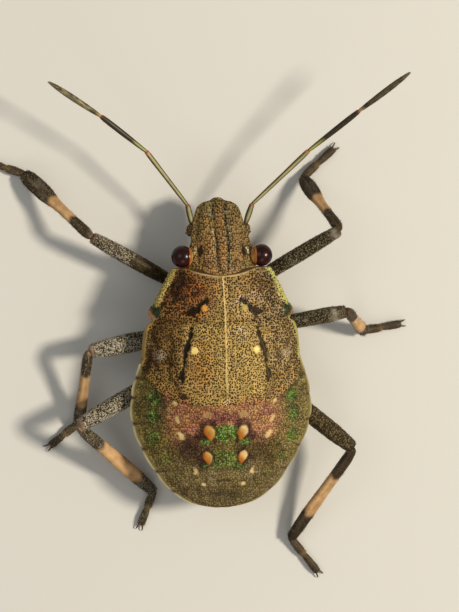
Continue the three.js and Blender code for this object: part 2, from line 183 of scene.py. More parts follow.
area_light("key", azimuth=-84, elevation=51, distance=0.22, size=0.04, power=0.6, colour=(1.0, 0.91, 0.76))
area_light("fill", azimuth=70, elevation=55, distance=0.25, size=0.16, power=0.1, colour=(0.95, 0.97, 1.0))
area_light("rear", azimuth=180, elevation=45, distance=0.25, size=0.12, power=0.08, colour=(1.0, 0.98, 0.95))
scene.world = scene.world or bpy.data.worlds.new("world")
scene.world.use_nodes = True
background = scene.world.node_tree.nodes["Background"]
background.inputs["Color"].default_value = (1.0, 0.98, 0.92, 1)
background.inputs["Strength"].default_value = 0.34
scene.view_settings.view_transform = "Standard"

# %% [markdown]
# ## Curves through short tables
# Widths and heights run along the body as smooth curves through a few named sizes. Blender's own curve
# objects could hold them, but a formula is easier to ask for a value at any place. This one keeps between
# its points, so it never swells past a size that was set, and it is the one that the solids use.


# %% Smooth curve through a table
def follow(table, at):
    """Values at `at` of the curve through rows of (place, value), for numbers or arrays."""
    x, y = np.asarray(table, float).T
    rise = np.diff(y) / np.diff(x)
    slope = np.empty(len(x))
    slope[0], slope[-1] = rise[0], rise[-1]
    before, after = rise[:-1], rise[1:]
    together = before + after
    safe = np.where(together == 0, 1, together)
    slope[1:-1] = np.where(before * after > 0, 2 * before * after / safe, 0)
    at = np.clip(np.asarray(at, float), x[0], x[-1])
    i = np.clip(np.searchsorted(x, at, side="right") - 1, 0, len(x) - 2)
    span = x[i + 1] - x[i]
    t = (at - x[i]) / span
    return (
        (2 * t**3 - 3 * t**2 + 1) * y[i]
        + (t**3 - 2 * t**2 + t) * span * slope[i]
        + (3 * t**2 - 2 * t**3) * y[i + 1]
        + (t**3 - t**2) * span * slope[i + 1]
    )


def spread(values, t):
    """The curve through values that lie evenly between 0 and 1."""
    return follow(list(zip(np.linspace(0, 1, len(values)), values)), t)


print("half way from 1 to 3 the curve is at %.1f" % spread([1, 3], 0.5))


# %% Soft steps and ridges
def blend(low, high, at):
    """0 below low, 1 above high, and smooth between them."""
    t = np.clip((np.asarray(at, float) - low) / (high - low), 0, 1)
    return t * t * (3 - 2 * t)


def fading(low, high, at):
    """1 below low, 0 above high, and smooth between them."""
    return 1 - blend(low, high, at)


def ridge(distance, width):
    """1 on a line, and falling off smoothly beside it."""
    return np.exp(-((distance / width) ** 2))


print("a ridge is %.2f high at its width" % ridge(1.0, 1.0))

# %% Sizes of the head
HEAD_WIDTH = [(0, 0.1), (0.03, 0.19), (0.09, 0.27), (0.13, 0.34), (0.17, 0.55), (0.26, 0.74), (0.42, 0.89)]
HEAD_WIDTH += [(0.71, 1.0), (1.0, 1.08), (1.4, 1.19), (1.8, 1.26), (2.35, 1.32), (2.9, 1.46), (3.6, 1.4)]
HEAD_BACK = [(0, 2.2), (0.25, 2.36), (0.65, 2.58), (1.5, 2.94), (2.4, 3.22), (3.6, 3.4)]
HEAD_EDGE = [(0, 2.1), (0.6, 2.24), (1.5, 2.46), (2.4, 2.68), (3.6, 2.78)]
HEAD_THROAT = [(0, 2.0), (0.25, 1.94), (0.65, 1.86), (1.5, 1.76), (3.6, 1.74)]
print("head: %.2f mm wide at most" % (2 * max(width for _, width in HEAD_WIDTH)))

# %% Sizes of the body
BODY_WIDTH = [(2.6, 1.95), (3.02, 2.17), (3.64, 2.49), (4.42, 2.89), (4.66, 3.08), (4.82, 3.12)]
BODY_WIDTH += [(5.1, 2.95), (5.24, 3.14), (5.62, 3.29), (6.3, 3.37), (6.9, 3.42), (7.5, 3.62), (8.3, 3.78)]
BODY_WIDTH += [(9.0, 3.82), (9.5, 3.74), (10.5, 3.38), (11.5, 2.8), (12.35, 2.13), (12.8, 1.5)]
BODY_WIDTH += [(13.0, 0.92), (13.1, 0.3)]
BODY_BACK = [(2.6, 3.05), (3.26, 3.4), (4.0, 3.7), (5.2, 3.95), (6.5, 4.08), (8.0, 4.08)]
BODY_BACK += [(9.5, 3.94), (11.0, 3.58), (12.3, 3.12), (12.9, 2.86), (13.1, 2.74)]
BODY_EDGE = [(2.6, 3.0), (3.6, 2.93), (4.8, 2.8), (6.5, 2.7), (9.0, 2.64), (13.1, 2.6)]
BODY_BELLY = [(2.6, 2.1), (3.4, 1.7), (4.2, 1.4), (5.5, 1.24), (7.5, 1.14), (9.5, 1.16)]
BODY_BELLY += [(11.0, 1.34), (12.3, 1.78), (12.9, 2.2), (13.1, 2.44)]
RIM_THICKNESS = 0.24
LOBE_ENDS = [6.75, 7.49, 8.33, 9.43, 10.52, 11.49, 12.35, 13.1]
LOBE_BULGE = 0.075
LAST_LOBE_BULGE = 0.02
print("body: %.2f mm wide at most, %d lobes" % (2 * max(w for _, w in BODY_WIDTH), len(LOBE_ENDS) - 1))

# %% [markdown]
# ## Noise by formula
# Real shell is never even. Blender's noise textures could break it up, but geometry and colour have to
# agree here: a furrow is low and dark at the same place. So the unevenness is a formula of the place
# alone. It gives slow, smooth patches over the plan of the body, soft-edged ovals with an uneven outline,
# and lines of any route.


# %% Unevenness, spots and strokes
def uneven(side, station, grain, seed=0):
    """Smooth noise from -1 to 1, whose patches are about `grain` millimetres across."""
    x, y = np.asarray(side) / grain + 17.3 * seed, np.asarray(station) / grain + 5.1 * seed
    x0, y0 = np.floor(x), np.floor(y)
    fx, fy = x - x0, y - y0

    def corner(dx, dy):
        value = np.sin((x0 + dx) * 127.1 + (y0 + dy) * 311.7 + seed) * 43758.5453
        return 2 * (value - np.floor(value)) - 1

    wx, wy = fx * fx * (3 - 2 * fx), fy * fy * (3 - 2 * fy)
    near = corner(0, 0) * (1 - wx) + corner(1, 0) * wx
    far = corner(0, 1) * (1 - wx) + corner(1, 1) * wx
    return near * (1 - wy) + far * wy


def spot(side, station, centre, radii, lean=0.0, soft=0.25, rough=0.12, seed=1):
    """1 inside an oval and 0 outside it. Lean turns it, in degrees, and rough wobbles its edge."""
    dx, dy = side - centre[0], station - centre[1]
    c, s = math.cos(math.radians(lean)), math.sin(math.radians(lean))
    reach = np.hypot((dx * c + dy * s) / radii[0], (dy * c - dx * s) / radii[1])
    reach = reach + rough * uneven(side, station, 0.14, seed)
    return 1 - blend(1 - soft, 1 + soft, reach)


def stroke(side, station, route, rough=0.03, seed=3):
    """Distance in millimetres to a line of points, less the half width given with each point."""
    gap = np.full(np.shape(side), 99.0)
    for (x0, y0, w0), (x1, y1, w1) in zip(route, route[1:]):
        length = (x1 - x0) ** 2 + (y1 - y0) ** 2
        t = np.clip(((side - x0) * (x1 - x0) + (station - y0) * (y1 - y0)) / length, 0, 1)
        away = np.hypot(side - x0 - t * (x1 - x0), station - y0 - t * (y1 - y0)) - (w0 + t * (w1 - w0))
        gap = np.minimum(gap, away)
    return gap + rough * uneven(side, station, 0.1, seed)


print("unevenness at one place: %.3f" % uneven(1.2, 3.4, 0.5))

# %% [markdown]
# ## Colours by name, laid on in coats
# A shell's markings could be an image, but an image has a fixed sharpness and needs a map. Here they are
# painted by formula, as a model maker would: a ground colour first, then one coat after another, each with
# its strength and the place where it lies. Each plate names its colours in a palette of its own. A pair of
# colours, or of strengths, is for the bug's left and its right side. The two sides of this bug differ, and
# where a pair makes the left side darker, part of that is painted shade, because the light falls from the
# bug's right.


# %% Palettes and coats
def paint(code):
    """A colour written as six hexadecimal digits, to linear red, green and blue."""
    shown = np.array([int(code[i : i + 2], 16) for i in (0, 2, 4)]) / 255
    return np.where(shown <= 0.04045, shown / 12.92, ((shown + 0.055) / 1.055) ** 2.4)


def palette(**codes):
    """Named colours, each as one for the left side and one for the right."""
    pairs = {name: code if isinstance(code, tuple) else (code, code) for name, code in codes.items()}
    return {name: (paint(left), paint(right)) for name, (left, right) in pairs.items()}


def by_side(grid, pair):
    """One value, or one colour, on the bug's left and another on its right."""
    left = grid["side"] > 0
    return np.where(left[..., None] if np.ndim(pair[0]) else left, *pair)


def mixed(colours, over, amount):
    """An array of colours with another colour laid over it where amount is high."""
    amount = np.clip(amount, 0, 1)[..., None]
    return colours * (1 - amount) + np.asarray(over) * amount


def coats(grid, ground, tones, *layers):
    """Colours over a ground, in turn: each has its name, its strength and where it lies."""
    for name, strength, where in layers:
        strength = by_side(grid, strength) if isinstance(strength, tuple) else strength
        ground = mixed(ground, by_side(grid, tones[name]), strength * where)
    return ground


print("middle grey is %.3f in linear light" % paint("808080")[0])

# %% [markdown]
# ## Meshes from rings
# Each shell, segment and limb is a closed skin. It could be sculpted, or grown from a cylinder with
# modifiers. Here it is a row of rings round the part, worked out all at once and closed by a fan at both
# ends, so that every point's place is known. The colour between the specks, the colour of the specks and
# their strength go along as values on the points, so the markings stay sharp without an image.


# %% Object from points and faces
def mesh_object(name, points, corners, sizes):
    """Points in millimetres, the point at each face's corners in a row, and each face's corner count."""
    mesh = bpy.data.meshes.new(name)
    mesh.vertices.add(len(points))
    mesh.vertices.foreach_set("co", metres(points).ravel())
    mesh.loops.add(len(corners))
    mesh.loops.foreach_set("vertex_index", corners)
    mesh.polygons.add(len(sizes))
    mesh.polygons.foreach_set("loop_start", np.concatenate([[0], np.cumsum(sizes)[:-1]]))
    mesh.polygons.foreach_set("loop_total", sizes)
    mesh.update(calc_edges=True)
    made = bpy.data.objects.new(name, mesh)
    scene.collection.objects.link(made)
    return made


def keep_values(made, label, values):
    """Values on an object's points: a place on the laid-out shell, a colour, or a number."""
    kind, field = "FLOAT", "value"
    if label == "lay":
        kind, field = "FLOAT_VECTOR", "vector"
    elif values.shape[1] == 3:
        kind, field = "FLOAT_COLOR", "color"
        values = np.concatenate([values, np.ones((len(values), 1))], 1)
    made.data.attributes.new(label, kind, "POINT").data.foreach_set(field, values.ravel())


# %% Closed skin from rings
SURFACES = {}


def facing_out(points, quads, fans):
    """The faces, turned over where the skin would otherwise be inside out."""
    p = points[quads]
    volume = (p[:, 0] * np.cross(p[:, 1], p[:, 2])).sum() + (p[:, 0] * np.cross(p[:, 2], p[:, 3])).sum()
    way = -1 if volume < 0 else 1
    return quads[:, ::way], [fan[:, ::way] for fan in fans]


def skin(name, rings, paints):
    """rings is rows by columns by 3, in millimetres. paints maps a name to values on the same grid."""
    SURFACES[name] = (rings, paints["ground"])
    rows, columns = rings.shape[:2]
    points = np.concatenate([rings.reshape(-1, 3), [rings[0].mean(0), rings[-1].mean(0)]])
    row = np.arange(rows - 1)[:, None] * columns
    here = np.arange(columns)
    after = (here + 1) % columns
    quads = np.stack([row + here, row + after, row + columns + after, row + columns + here], -1)
    last_row = (rows - 1) * columns
    fan_start = np.stack([after, here, np.full(columns, rows * columns)], -1)
    fan_end = np.stack([last_row + here, last_row + after, np.full(columns, rows * columns + 1)], -1)
    quads, fans = facing_out(points, quads.reshape(-1, 4), (fan_start, fan_end))
    corners = np.concatenate([quads.ravel(), fans[0].ravel(), fans[1].ravel()])
    sizes = np.concatenate([np.full(len(quads), 4), np.full(2 * columns, 3)])
    made = mesh_object(name, points, corners, sizes)
    made.data.polygons.foreach_set("use_smooth", np.ones(len(sizes), bool))
    for label, values in paints.items():
        flat = np.asarray(values, float).reshape(rows * columns, -1)
        ends = [flat[:columns].mean(0, keepdims=True), flat[-columns:].mean(0, keepdims=True)]
        keep_values(made, label, np.concatenate([flat, *ends]))
    print("%s: %d faces" % (name, len(sizes)))
    return made


# %% Lines that every piece needs
def dress(piece, slot, material, *nodes):
    """The piece's finish, its body and the solids that it stands for. Its slot is not used."""
    piece.data.materials.append(material)
    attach(piece, "root")
    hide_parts(*nodes)
    return piece


# %% [markdown]
# ## Speckled cuticle
# The shell is pitted all over: each pit is a dark dot in a paler ground. On the legs it is the other way
# round, with pale grains on a dark ground. Holes could be modelled one by one, but there are thousands of
# them, a tenth of a millimetre apart. So one node group makes both kinds from a cell pattern, with one
# speck to a cell. It takes a ground colour, a speck colour, an amount and a density, and gives a colour, a
# mask, a height for the bump and a roughness.


# %% Node helpers
def node(tree, kind, settings=None, sockets=None):
    made = tree.nodes.new(kind)
    for key, value in (settings or {}).items():
        setattr(made, key, value)
    for key, value in (sockets or {}).items():
        if isinstance(value, bpy.types.NodeSocket):
            tree.links.new(value, made.inputs[key])
        else:
            made.inputs[key].default_value = value
    return made


def maths(tree, operation, *values):
    return node(tree, "ShaderNodeMath", {"operation": operation}, dict(enumerate(values))).outputs[0]


def noise(tree, place, scale, detail):
    sockets = {"Vector": place, "Scale": scale, "Detail": detail}
    return node(tree, "ShaderNodeTexNoise", None, sockets).outputs


def mix_colour(tree, factor, first, second, how="MIX"):
    sockets = {0: factor, 6: first, 7: second}
    return node(tree, "ShaderNodeMix", {"data_type": "RGBA", "blend_type": how}, sockets).outputs[2]


def times(tree, colour, red, green, blue):
    """A colour whose red, green and blue are each made stronger or weaker."""
    factors = node(tree, "ShaderNodeCombineColor", None, {0: red, 1: green, 2: blue}).outputs[0]
    return mix_colour(tree, 1.0, colour, factors, "MULTIPLY")


def map_range(tree, value, low, high, to_low, to_high):
    sockets = {"Value": value, "From Min": low, "From Max": high, "To Min": to_low, "To Max": to_high}
    return node(tree, "ShaderNodeMapRange", {"interpolation_type": "SMOOTHSTEP"}, sockets).outputs[0]


def new_group(name, inputs, outputs):
    tree = bpy.data.node_groups.new(name, "ShaderNodeTree")
    for label, kind in inputs:
        tree.interface.new_socket(label, in_out="INPUT", socket_type=kind)
    for label, kind in outputs:
        tree.interface.new_socket(label, in_out="OUTPUT", socket_type=kind)
    return tree, tree.nodes.new("NodeGroupInput").outputs, tree.nodes.new("NodeGroupOutput").inputs


# %% [markdown]
# ### Cells and specks
# Nearness to a cell's middle gives a round dot. Real pits aren't quite round or alike, so the place is
# first pushed about by a fine noise, and each cell has a size of its own. Where the amount is small the
# specks shrink, and then vanish.


# %% Cells and specks
SCATTER = 0.82
PUSH = 0.32


def cells_of(tree, given, dimensions):
    """One cell for each speck: how near its middle is, three draws of its own, and a fine noise."""
    fine = maths(tree, "MULTIPLY", given["Density"], 1.9)
    wobble = noise(tree, given["Place"], fine, 1.0)
    far = maths(tree, "DIVIDE", PUSH, given["Density"])
    push = node(tree, "ShaderNodeVectorMath", {"operation": "SCALE"}, {0: wobble["Color"], "Scale": far})
    moved = node(tree, "ShaderNodeVectorMath", {"operation": "ADD"}, {0: given["Place"], 1: push.outputs[0]})
    kind = {"feature": "F1", "voronoi_dimensions": dimensions}
    sockets = {"Vector": moved.outputs[0], "Scale": given["Density"], "Randomness": SCATTER}
    cells = node(tree, "ShaderNodeTexVoronoi", kind, sockets)
    own = node(tree, "ShaderNodeSeparateColor", None, {0: cells.outputs["Color"]}).outputs
    return cells.outputs["Distance"], own, wobble["Fac"]


def speck_size(tree, given, own, clouds):
    patchy = map_range(tree, clouds, 0.3, 0.7, 0.86, 1.14)
    share = maths(tree, "MULTIPLY_ADD", given["Amount"], 0.6, 0.4)
    size = maths(tree, "MULTIPLY", maths(tree, "MULTIPLY", given["Reach"], share), patchy)
    return maths(tree, "MULTIPLY", size, map_range(tree, own[0], 0.0, 1.0, 0.8, 1.18))


def speck_mask(tree, given, distance, size, present):
    inside = maths(tree, "SUBTRACT", size, given["Edge"])
    outside = maths(tree, "ADD", size, given["Edge"])
    return maths(tree, "MULTIPLY", map_range(tree, distance, inside, outside, 1.0, 0.0), present)


# %% [markdown]
# ### Tones of ground and specks
# Pigment is never even either. The ground is lighter and darker in clouds, and between the specks it also
# turns warmer and colder. The ground right round each pit is painted darker, as painted shade in the pit,
# and the ground further from the pits is painted lighter, as a painted highlight on the ridges. Every speck
# has a shade of its own.


# %% Tones
def ground_tone(tree, given, clouds, distance, size, present):
    light = map_range(tree, clouds, 0.25, 0.75, 0.8, 1.2)
    clear = times(tree, given["Ground"], light, light, light)
    mottle = noise(tree, given["Place"], maths(tree, "MULTIPLY", given["Density"], 0.33), 2.0)
    light = maths(tree, "MULTIPLY", light, map_range(tree, mottle["Fac"], 0.3, 0.7, 0.82, 1.18))
    hues = node(tree, "ShaderNodeSeparateColor", None, {0: mottle["Color"]}).outputs
    warm = maths(tree, "MULTIPLY", light, map_range(tree, hues[0], 0.3, 0.7, 0.95, 1.05))
    cold = maths(tree, "MULTIPLY", light, map_range(tree, hues[2], 0.3, 0.7, 0.82, 1.2))
    # Painted shade right round each pit, and a painted highlight on the ground between the pits.
    pit_shade_and_ridge_highlight = map_range(tree, maths(tree, "SUBTRACT", distance, size), 0.0, 0.3, 0.88, 1.1)
    speckled = times(tree, times(tree, given["Ground"], warm, light, cold), pit_shade_and_ridge_highlight, pit_shade_and_ridge_highlight, pit_shade_and_ridge_highlight)
    return mix_colour(tree, present, clear, speckled)


def speck_tone(tree, given, own):
    shade = map_range(tree, own[1], 0.0, 1.0, 0.7, 1.3)
    blue = maths(tree, "MULTIPLY", shade, map_range(tree, own[2], 0.0, 1.0, 0.8, 1.3))
    return times(tree, given["Speck"], shade, shade, blue)


# %% Node group: speckled cuticle
COLOUR, FLOAT, VECTOR = "NodeSocketColor", "NodeSocketFloat", "NodeSocketVector"
GIVEN = [("Place", VECTOR), ("Ground", COLOUR), ("Speck", COLOUR), ("Amount", FLOAT)]
GIVEN += [("Density", FLOAT), ("Reach", FLOAT), ("Edge", FLOAT)]
RESULTS = [("Color", COLOUR), ("Mask", FLOAT), ("Height", FLOAT), ("Roughness", FLOAT)]


def speckled_cuticle(name, dimensions):
    """On a plate the specks are set out over its surface, and on a limb they are spread in space."""
    tree, given, out = new_group(name, GIVEN, RESULTS)
    clouds = noise(tree, given["Place"], maths(tree, "MULTIPLY", given["Density"], 0.16), 3.0)["Fac"]
    distance, own, wobble = cells_of(tree, given, dimensions)
    size = speck_size(tree, given, own, clouds)
    present = map_range(tree, given["Amount"], 0.02, 0.3, 0.0, 1.0)
    mask = speck_mask(tree, given, distance, size, present)
    ground = ground_tone(tree, given, clouds, distance, size, present)
    tree.links.new(mix_colour(tree, mask, ground, speck_tone(tree, given, own)), out["Color"])
    tree.links.new(mask, out["Mask"])
    tree.links.new(mask, out["Height"])
    tree.links.new(map_range(tree, wobble, 0.3, 0.7, 0.4, 0.62), out["Roughness"])
    return tree


PITTED = speckled_cuticle("Pitted cuticle", "2D")
GRAINED = speckled_cuticle("Grained cuticle", "3D")
print("node groups: %s, with %d nodes, and %s" % (PITTED.name, len(PITTED.nodes), GRAINED.name))

# %% [markdown]
# ### Finishes from the group
# Each finish reads the values on the points, feeds them to the group and bumps the surface by the group's
# height. Pits are sunk, and grains stand proud. The shell has little shine, and a warm one. Four finishes
# serve the whole bug: pitted plates, granular plates, limbs with grains, and smooth cuticle for the
# feelers, the claws and the beak.


# %% Finishes of shell and limbs
VALUES = ("ground", "speck", "amount", "metal", "gloss", "lay")
SHEEN = (1.0, 0.85, 0.6, 1)


def cuticle_material(name, kind, density, reach, relief, edge=0.1, coat=0.0, sunk=True):
    """Density is cells to a millimetre on plates and to a metre on limbs. Relief is in metres."""
    material, tree, shader = new_material(name)
    read = {label: node(tree, "ShaderNodeAttribute", {"attribute_name": label}).outputs for label in VALUES}
    if kind == PITTED:
        place = read["lay"]["Vector"]
    else:
        place = tree.nodes.new("ShaderNodeTexCoord").outputs["Object"]
    sockets = {"Place": place, "Ground": read["ground"]["Color"], "Speck": read["speck"]["Color"]}
    sockets.update({"Amount": read["amount"]["Fac"], "Density": density, "Reach": reach, "Edge": edge})
    group = node(tree, "ShaderNodeGroup", {"node_tree": kind}, sockets).outputs
    metal = maths(tree, "MULTIPLY", read["metal"]["Fac"], maths(tree, "SUBTRACT", 1.0, group["Mask"]))
    rough = maths(tree, "SUBTRACT", group["Roughness"], read["gloss"]["Fac"])
    tree.links.new(group["Color"], shader.inputs["Base Color"])
    tree.links.new(metal, shader.inputs["Metallic"])
    tree.links.new(rough, shader.inputs["Roughness"])
    shader.inputs["Specular IOR Level"].default_value = 0.16
    shader.inputs["Specular Tint"].default_value = SHEEN
    shader.inputs["Coat Weight"].default_value = coat
    shader.inputs["Coat Roughness"].default_value = 0.3
    sockets = {"Strength": 0.8, "Distance": relief, "Height": group["Height"]}
    bump = node(tree, "ShaderNodeBump", {"invert": sunk}, sockets)
    tree.links.new(bump.outputs["Normal"], shader.inputs["Normal"])
    print("%s: a speck every %.2f mm" % (name, 1 / density if kind == PITTED else 1000 / density))
    return material


PLATE_CELLS = 11.2
PIT_DEPTH = 2.0e-5
shell_finish = cuticle_material("pitted shell", PITTED, PLATE_CELLS, 0.37, PIT_DEPTH, edge=0.08)
GRAIN_EDGE = 0.16
GRANULES = (0.43, PIT_DEPTH, GRAIN_EDGE)
grain_finish = cuticle_material("granular shell", PITTED, PLATE_CELLS, *GRANULES, sunk=False)
limb_finish = cuticle_material("grained limb", GRAINED, 15500.0, 0.5, 1.8e-5, edge=0.14, sunk=False)
smooth_finish = cuticle_material("smooth cuticle", GRAINED, 12000.0, 0.3, 0.6e-5, coat=0.2)

# %% [markdown]
# ## Plates of the body
# A shield bug's body is a flat lens with a sharp rim. A ring round it is given by an angle: the cosine
# gives the side and the sine lifts the back and drops the belly. A plate is the stretch between a front
# line and a rear line, which may bow, so that the collar and the wing pads get their real outline.
# Relief, as a height in millimetres, is added over the plan. A grid carries each point's side, its
# station, its rise from the rim (-1 below to 1 above) and its reach towards the rim (0 to 1).


# %% Laying out and closing a plate
BACK_TURN = 0.5 * np.pi
BELLY_TURN = 1.5 * np.pi


def laid_out(rings, turn):
    """Each point's distance round its ring from the middle of the back, and its station."""
    first = int(np.argmin(np.abs(turn - BELLY_TURN)))
    order = np.roll(np.arange(len(turn)), -first)
    steps = np.linalg.norm(np.diff(rings[:, order], axis=1)[..., [0, 2]], axis=-1)
    along = np.concatenate([np.zeros((len(rings), 1)), np.cumsum(steps, 1)], 1)
    middle = int(np.where(order == int(np.argmin(np.abs(turn - BACK_TURN))))[0][0])
    along -= along[:, middle : middle + 1]
    across = np.empty_like(along)
    across[:, order] = along
    return np.stack([across, rings[..., 1], 0 * across], -1)


def closed_end(ring, way):
    """Two smaller rings that round off the end of a plate, nearest the end's middle first or last."""
    middle = ring.mean(0)
    inner = [middle + (ring - middle) * size for size in (0.9, 0.985)]
    return np.stack(inner if way > 0 else inner[::-1])


# %% Plate builder
def plan(front, rear, rear_below, width, rows, turn, crowd):
    """Side, station and place below the rim of each point. A few rounds settle side and station."""
    below = np.sin(turn)[None, :] < -1e-6
    t = (np.linspace(0, 1, rows) ** crowd)[:, None]
    side = np.zeros((rows, len(turn)))
    for _ in range(12):
        away = np.abs(side)
        end = np.where(below, rear_below(away), rear(away))
        station = front(away) * (1 - t) + end * t
        side = 0.5 * side + 0.5 * np.cos(turn)[None, :] * width(station)
    return side, station, np.broadcast_to(below, side.shape)


def plate(name, front, rear, measures, relief, colours, rows, top, bottom, crowd=1.0, rear_below=None):
    """front and rear give a station from a distance to the middle. measures holds the curves."""
    turn = np.concatenate([np.linspace(0, np.pi, top), np.linspace(np.pi, 2 * np.pi, bottom + 2)[1:-1]])
    side, station, below = plan(front, rear, rear_below or rear, measures["width"], rows, turn, crowd)
    rise = np.sin(turn)[None, :]
    edge = follow(measures["edge"], station)
    half = RIM_THICKNESS / 2
    crown = np.maximum(follow(measures["back"], station) - edge - half, 0)
    keel = np.maximum(edge - half - follow(measures["belly"], station), 0)
    above = crown * np.maximum(rise, 0) ** measures["round"]
    under = keel * np.maximum(-rise, 0) ** measures["full"]
    height = edge + half * rise + above - under
    reach = np.abs(side) / np.maximum(measures["width"](station), 1e-6)
    grid = {"side": side, "station": station, "rise": rise + 0 * side, "below": below, "reach": reach}
    out, lift = relief(grid)
    paints = colours(grid)
    rings = np.stack([side + out, station, height + lift], -1)
    paints["lay"] = laid_out(rings, turn)
    padded = {}
    for label, values in paints.items():
        padded[label] = np.concatenate([np.repeat(values[:1], 2, 0), values, np.repeat(values[-1:], 2, 0)])
    return skin(name, np.concatenate([closed_end(rings[0], 1), rings, closed_end(rings[-1], -1)]), padded)


# %% Widths and curves of the body
def lobed_width(station):
    """The abdomen's rim bulges once for each ring of the body."""
    width = follow(BODY_WIDTH, station)
    for start, end in zip(LOBE_ENDS, LOBE_ENDS[1:]):
        t = np.clip((station - start) / (end - start), 0, 1)
        size = LOBE_BULGE if end < BODY_LENGTH else LAST_LOBE_BULGE
        width = width + size * np.sqrt(4 * t * (1 - t))
    return width


def rim_distance(grid):
    """Millimetres in from the body's rim, over the plan."""
    return np.maximum(lobed_width(grid["station"]) - np.abs(grid["side"]), 0)


def raised(table, by):
    return [(place, value + by) for place, value in table]


BODY = {"width": lobed_width, "back": BODY_BACK, "edge": BODY_EDGE, "belly": BODY_BELLY}
BODY.update({"round": 1.6, "full": 2.0})
HEAD = {"width": lambda station: follow(HEAD_WIDTH, station), "back": HEAD_BACK, "edge": HEAD_EDGE}
HEAD.update({"belly": HEAD_THROAT, "round": 1.5, "full": 1.5})
print("the rim bulges by %.3f mm in each lobe" % LOBE_BULGE)


# %% Two kinds of shell
def granular(ground, amount, dark=0.2):
    """Pale grains in the full colour, on a ground of the same colour made darker where they stand."""
    amount = np.clip(amount, 0, 1)
    bright = np.clip(ground.mean(-1) / 0.16, 0, 1) ** 2
    grain = mixed(ground * 1.1, paint("a8946c"), 0.22 * amount * bright)
    return ground * (1 - (1 - dark) * amount)[..., None], grain


def middle_line(side, station, rise):
    """The thin pale line down the middle of the back, slightly wavy."""
    return fading(0.012, 0.05, np.abs(side) + 0.012 * uneven(side, station, 0.12, 3)) * (rise > 0)


# %% [markdown]
# ### Head
# The head is a blunt wedge. A narrow middle lobe, between two grooves, runs back from its tip, and the
# two side lobes end level with it. It is granular, and darker towards the tip. Behind the eyes it slips
# into the collar. A sculpted head would need its grooves drawn by hand, twice. As relief over the plan
# they are one formula of the distance to the middle, so both sides get them.


# %% Head: collar and grooves
COLLAR = {"middle": 3.26, "rise": 0.3, "half": 1.46}
GROOVE = [(0.0, 0.32), (0.3, 0.28), (0.9, 0.25), (1.8, 0.25), (2.3, 0.24), (3.0, 0.16), (3.6, 0.1)]
EYE_STATION = 2.42


def collar_line(away, shift=-0.06):
    return COLLAR["middle"] - COLLAR["rise"] * np.minimum(1, away / COLLAR["half"]) ** 2 + shift


def groove_gap(side, station):
    """Signed distance to the groove beside the middle lobe, with a small waver."""
    return np.abs(side) - follow(GROOVE, station) + 0.012 * uneven(side, station, 0.1, 8)


# %% Head: relief
def head_relief(grid):
    side, station, reach = np.abs(grid["side"]), grid["station"], grid["reach"]
    front = fading(2.7, 3.1, station)
    lift = (
        -0.06 * ridge(groove_gap(grid["side"], station), 0.06) * front
        + 0.05 * ridge(side, 0.17) * fading(2.2, 3.0, station)
        + 0.05 * ridge(side - 0.62, 0.22) * blend(0.2, 0.8, station) * front
        - 0.06 * ridge(reach - 0.86, 0.08) * fading(1.9, 2.3, station)
        - 0.06 * spot(side, station, (0.93, 2.2), (0.14, 0.34), lean=-12, soft=0.7)
        + 0.05 * spot(side, station, (0.62, 2.72), (0.12, 0.12), soft=0.8)
        + 0.02 * uneven(grid["side"], station, 0.22, 4)
    )
    cheek = -0.05 * ridge(side - 0.35, 0.12) * (grid["rise"] < -0.3)
    socket = ridge(station - EYE_STATION, 0.36) * ridge(grid["rise"] - 0.2, 0.4)
    out = np.sign(grid["side"]) * 0.16 * socket * reach**6
    return out - 0.05 * blend(0.9, 1.9, station), lift * blend(0.05, 0.4, grid["rise"]) + cheek


# %% Head: colours
HEAD_TONES = palette(
    ground=("8a6736", "7c5f36"),
    tip="6c5a32",
    cheeks="6e5a30",
    rust="92602f",
    olive="6f6538",
    groove_lip="9a9c82",
    groove_side="5c5c40",
    groove="0e0c06",
    groove_grain="14120a",
    eye_spot="150c07",
    fleck="d8cda4",
    lid=("b08c54", "8e6030"),
    throat="7c6a3c",
)


def head_ground(grid):
    """Brown, rustier behind and in the middle, duller at the tip and on the cheeks."""
    side, station = grid["side"], grid["station"]
    rust = spot(side, station, (0.35, 2.5), (0.6, 0.7), soft=0.8, rough=0.3)
    rust = np.maximum(rust, spot(side, station, (0.0, 1.7), (0.2, 1.0), soft=0.6))
    return coats(
        grid,
        by_side(grid, HEAD_TONES["ground"]),
        HEAD_TONES,
        ("tip", 0.85, fading(0.2, 1.4, station)),
        ("cheeks", 0.6, blend(0.6, 1.1, np.abs(side) + 0.15 * uneven(side, station, 0.3, 12))),
        ("rust", 0.5, rust),
        ("olive", 0.35, blend(-0.2, 0.7, uneven(side, station, 0.3, 17))),
    )


# %% Head: markings
def head_grooves(grid):
    """The dark of the grooves, and the thin pale lip on their outer side."""
    side, station = grid["side"], grid["station"]
    gap = np.abs(groove_gap(side, station)) + 0.03 * uneven(side, station, 0.09, 10)
    groove = fading(0.02, 0.075 + 0.03 * uneven(side, station, 0.2, 19), gap)
    groove = groove * fading(2.75, 3.15, station) * blend(0.1, 0.3, station)
    lip = ridge(np.abs(side) - follow(GROOVE, station) - 0.1, 0.03) * blend(0.3, 0.5, station)
    lip = lip * fading(2.6, 3.0, station) * blend(-0.5, 0.3, uneven(side, station, 0.13, 18))
    return groove, lip


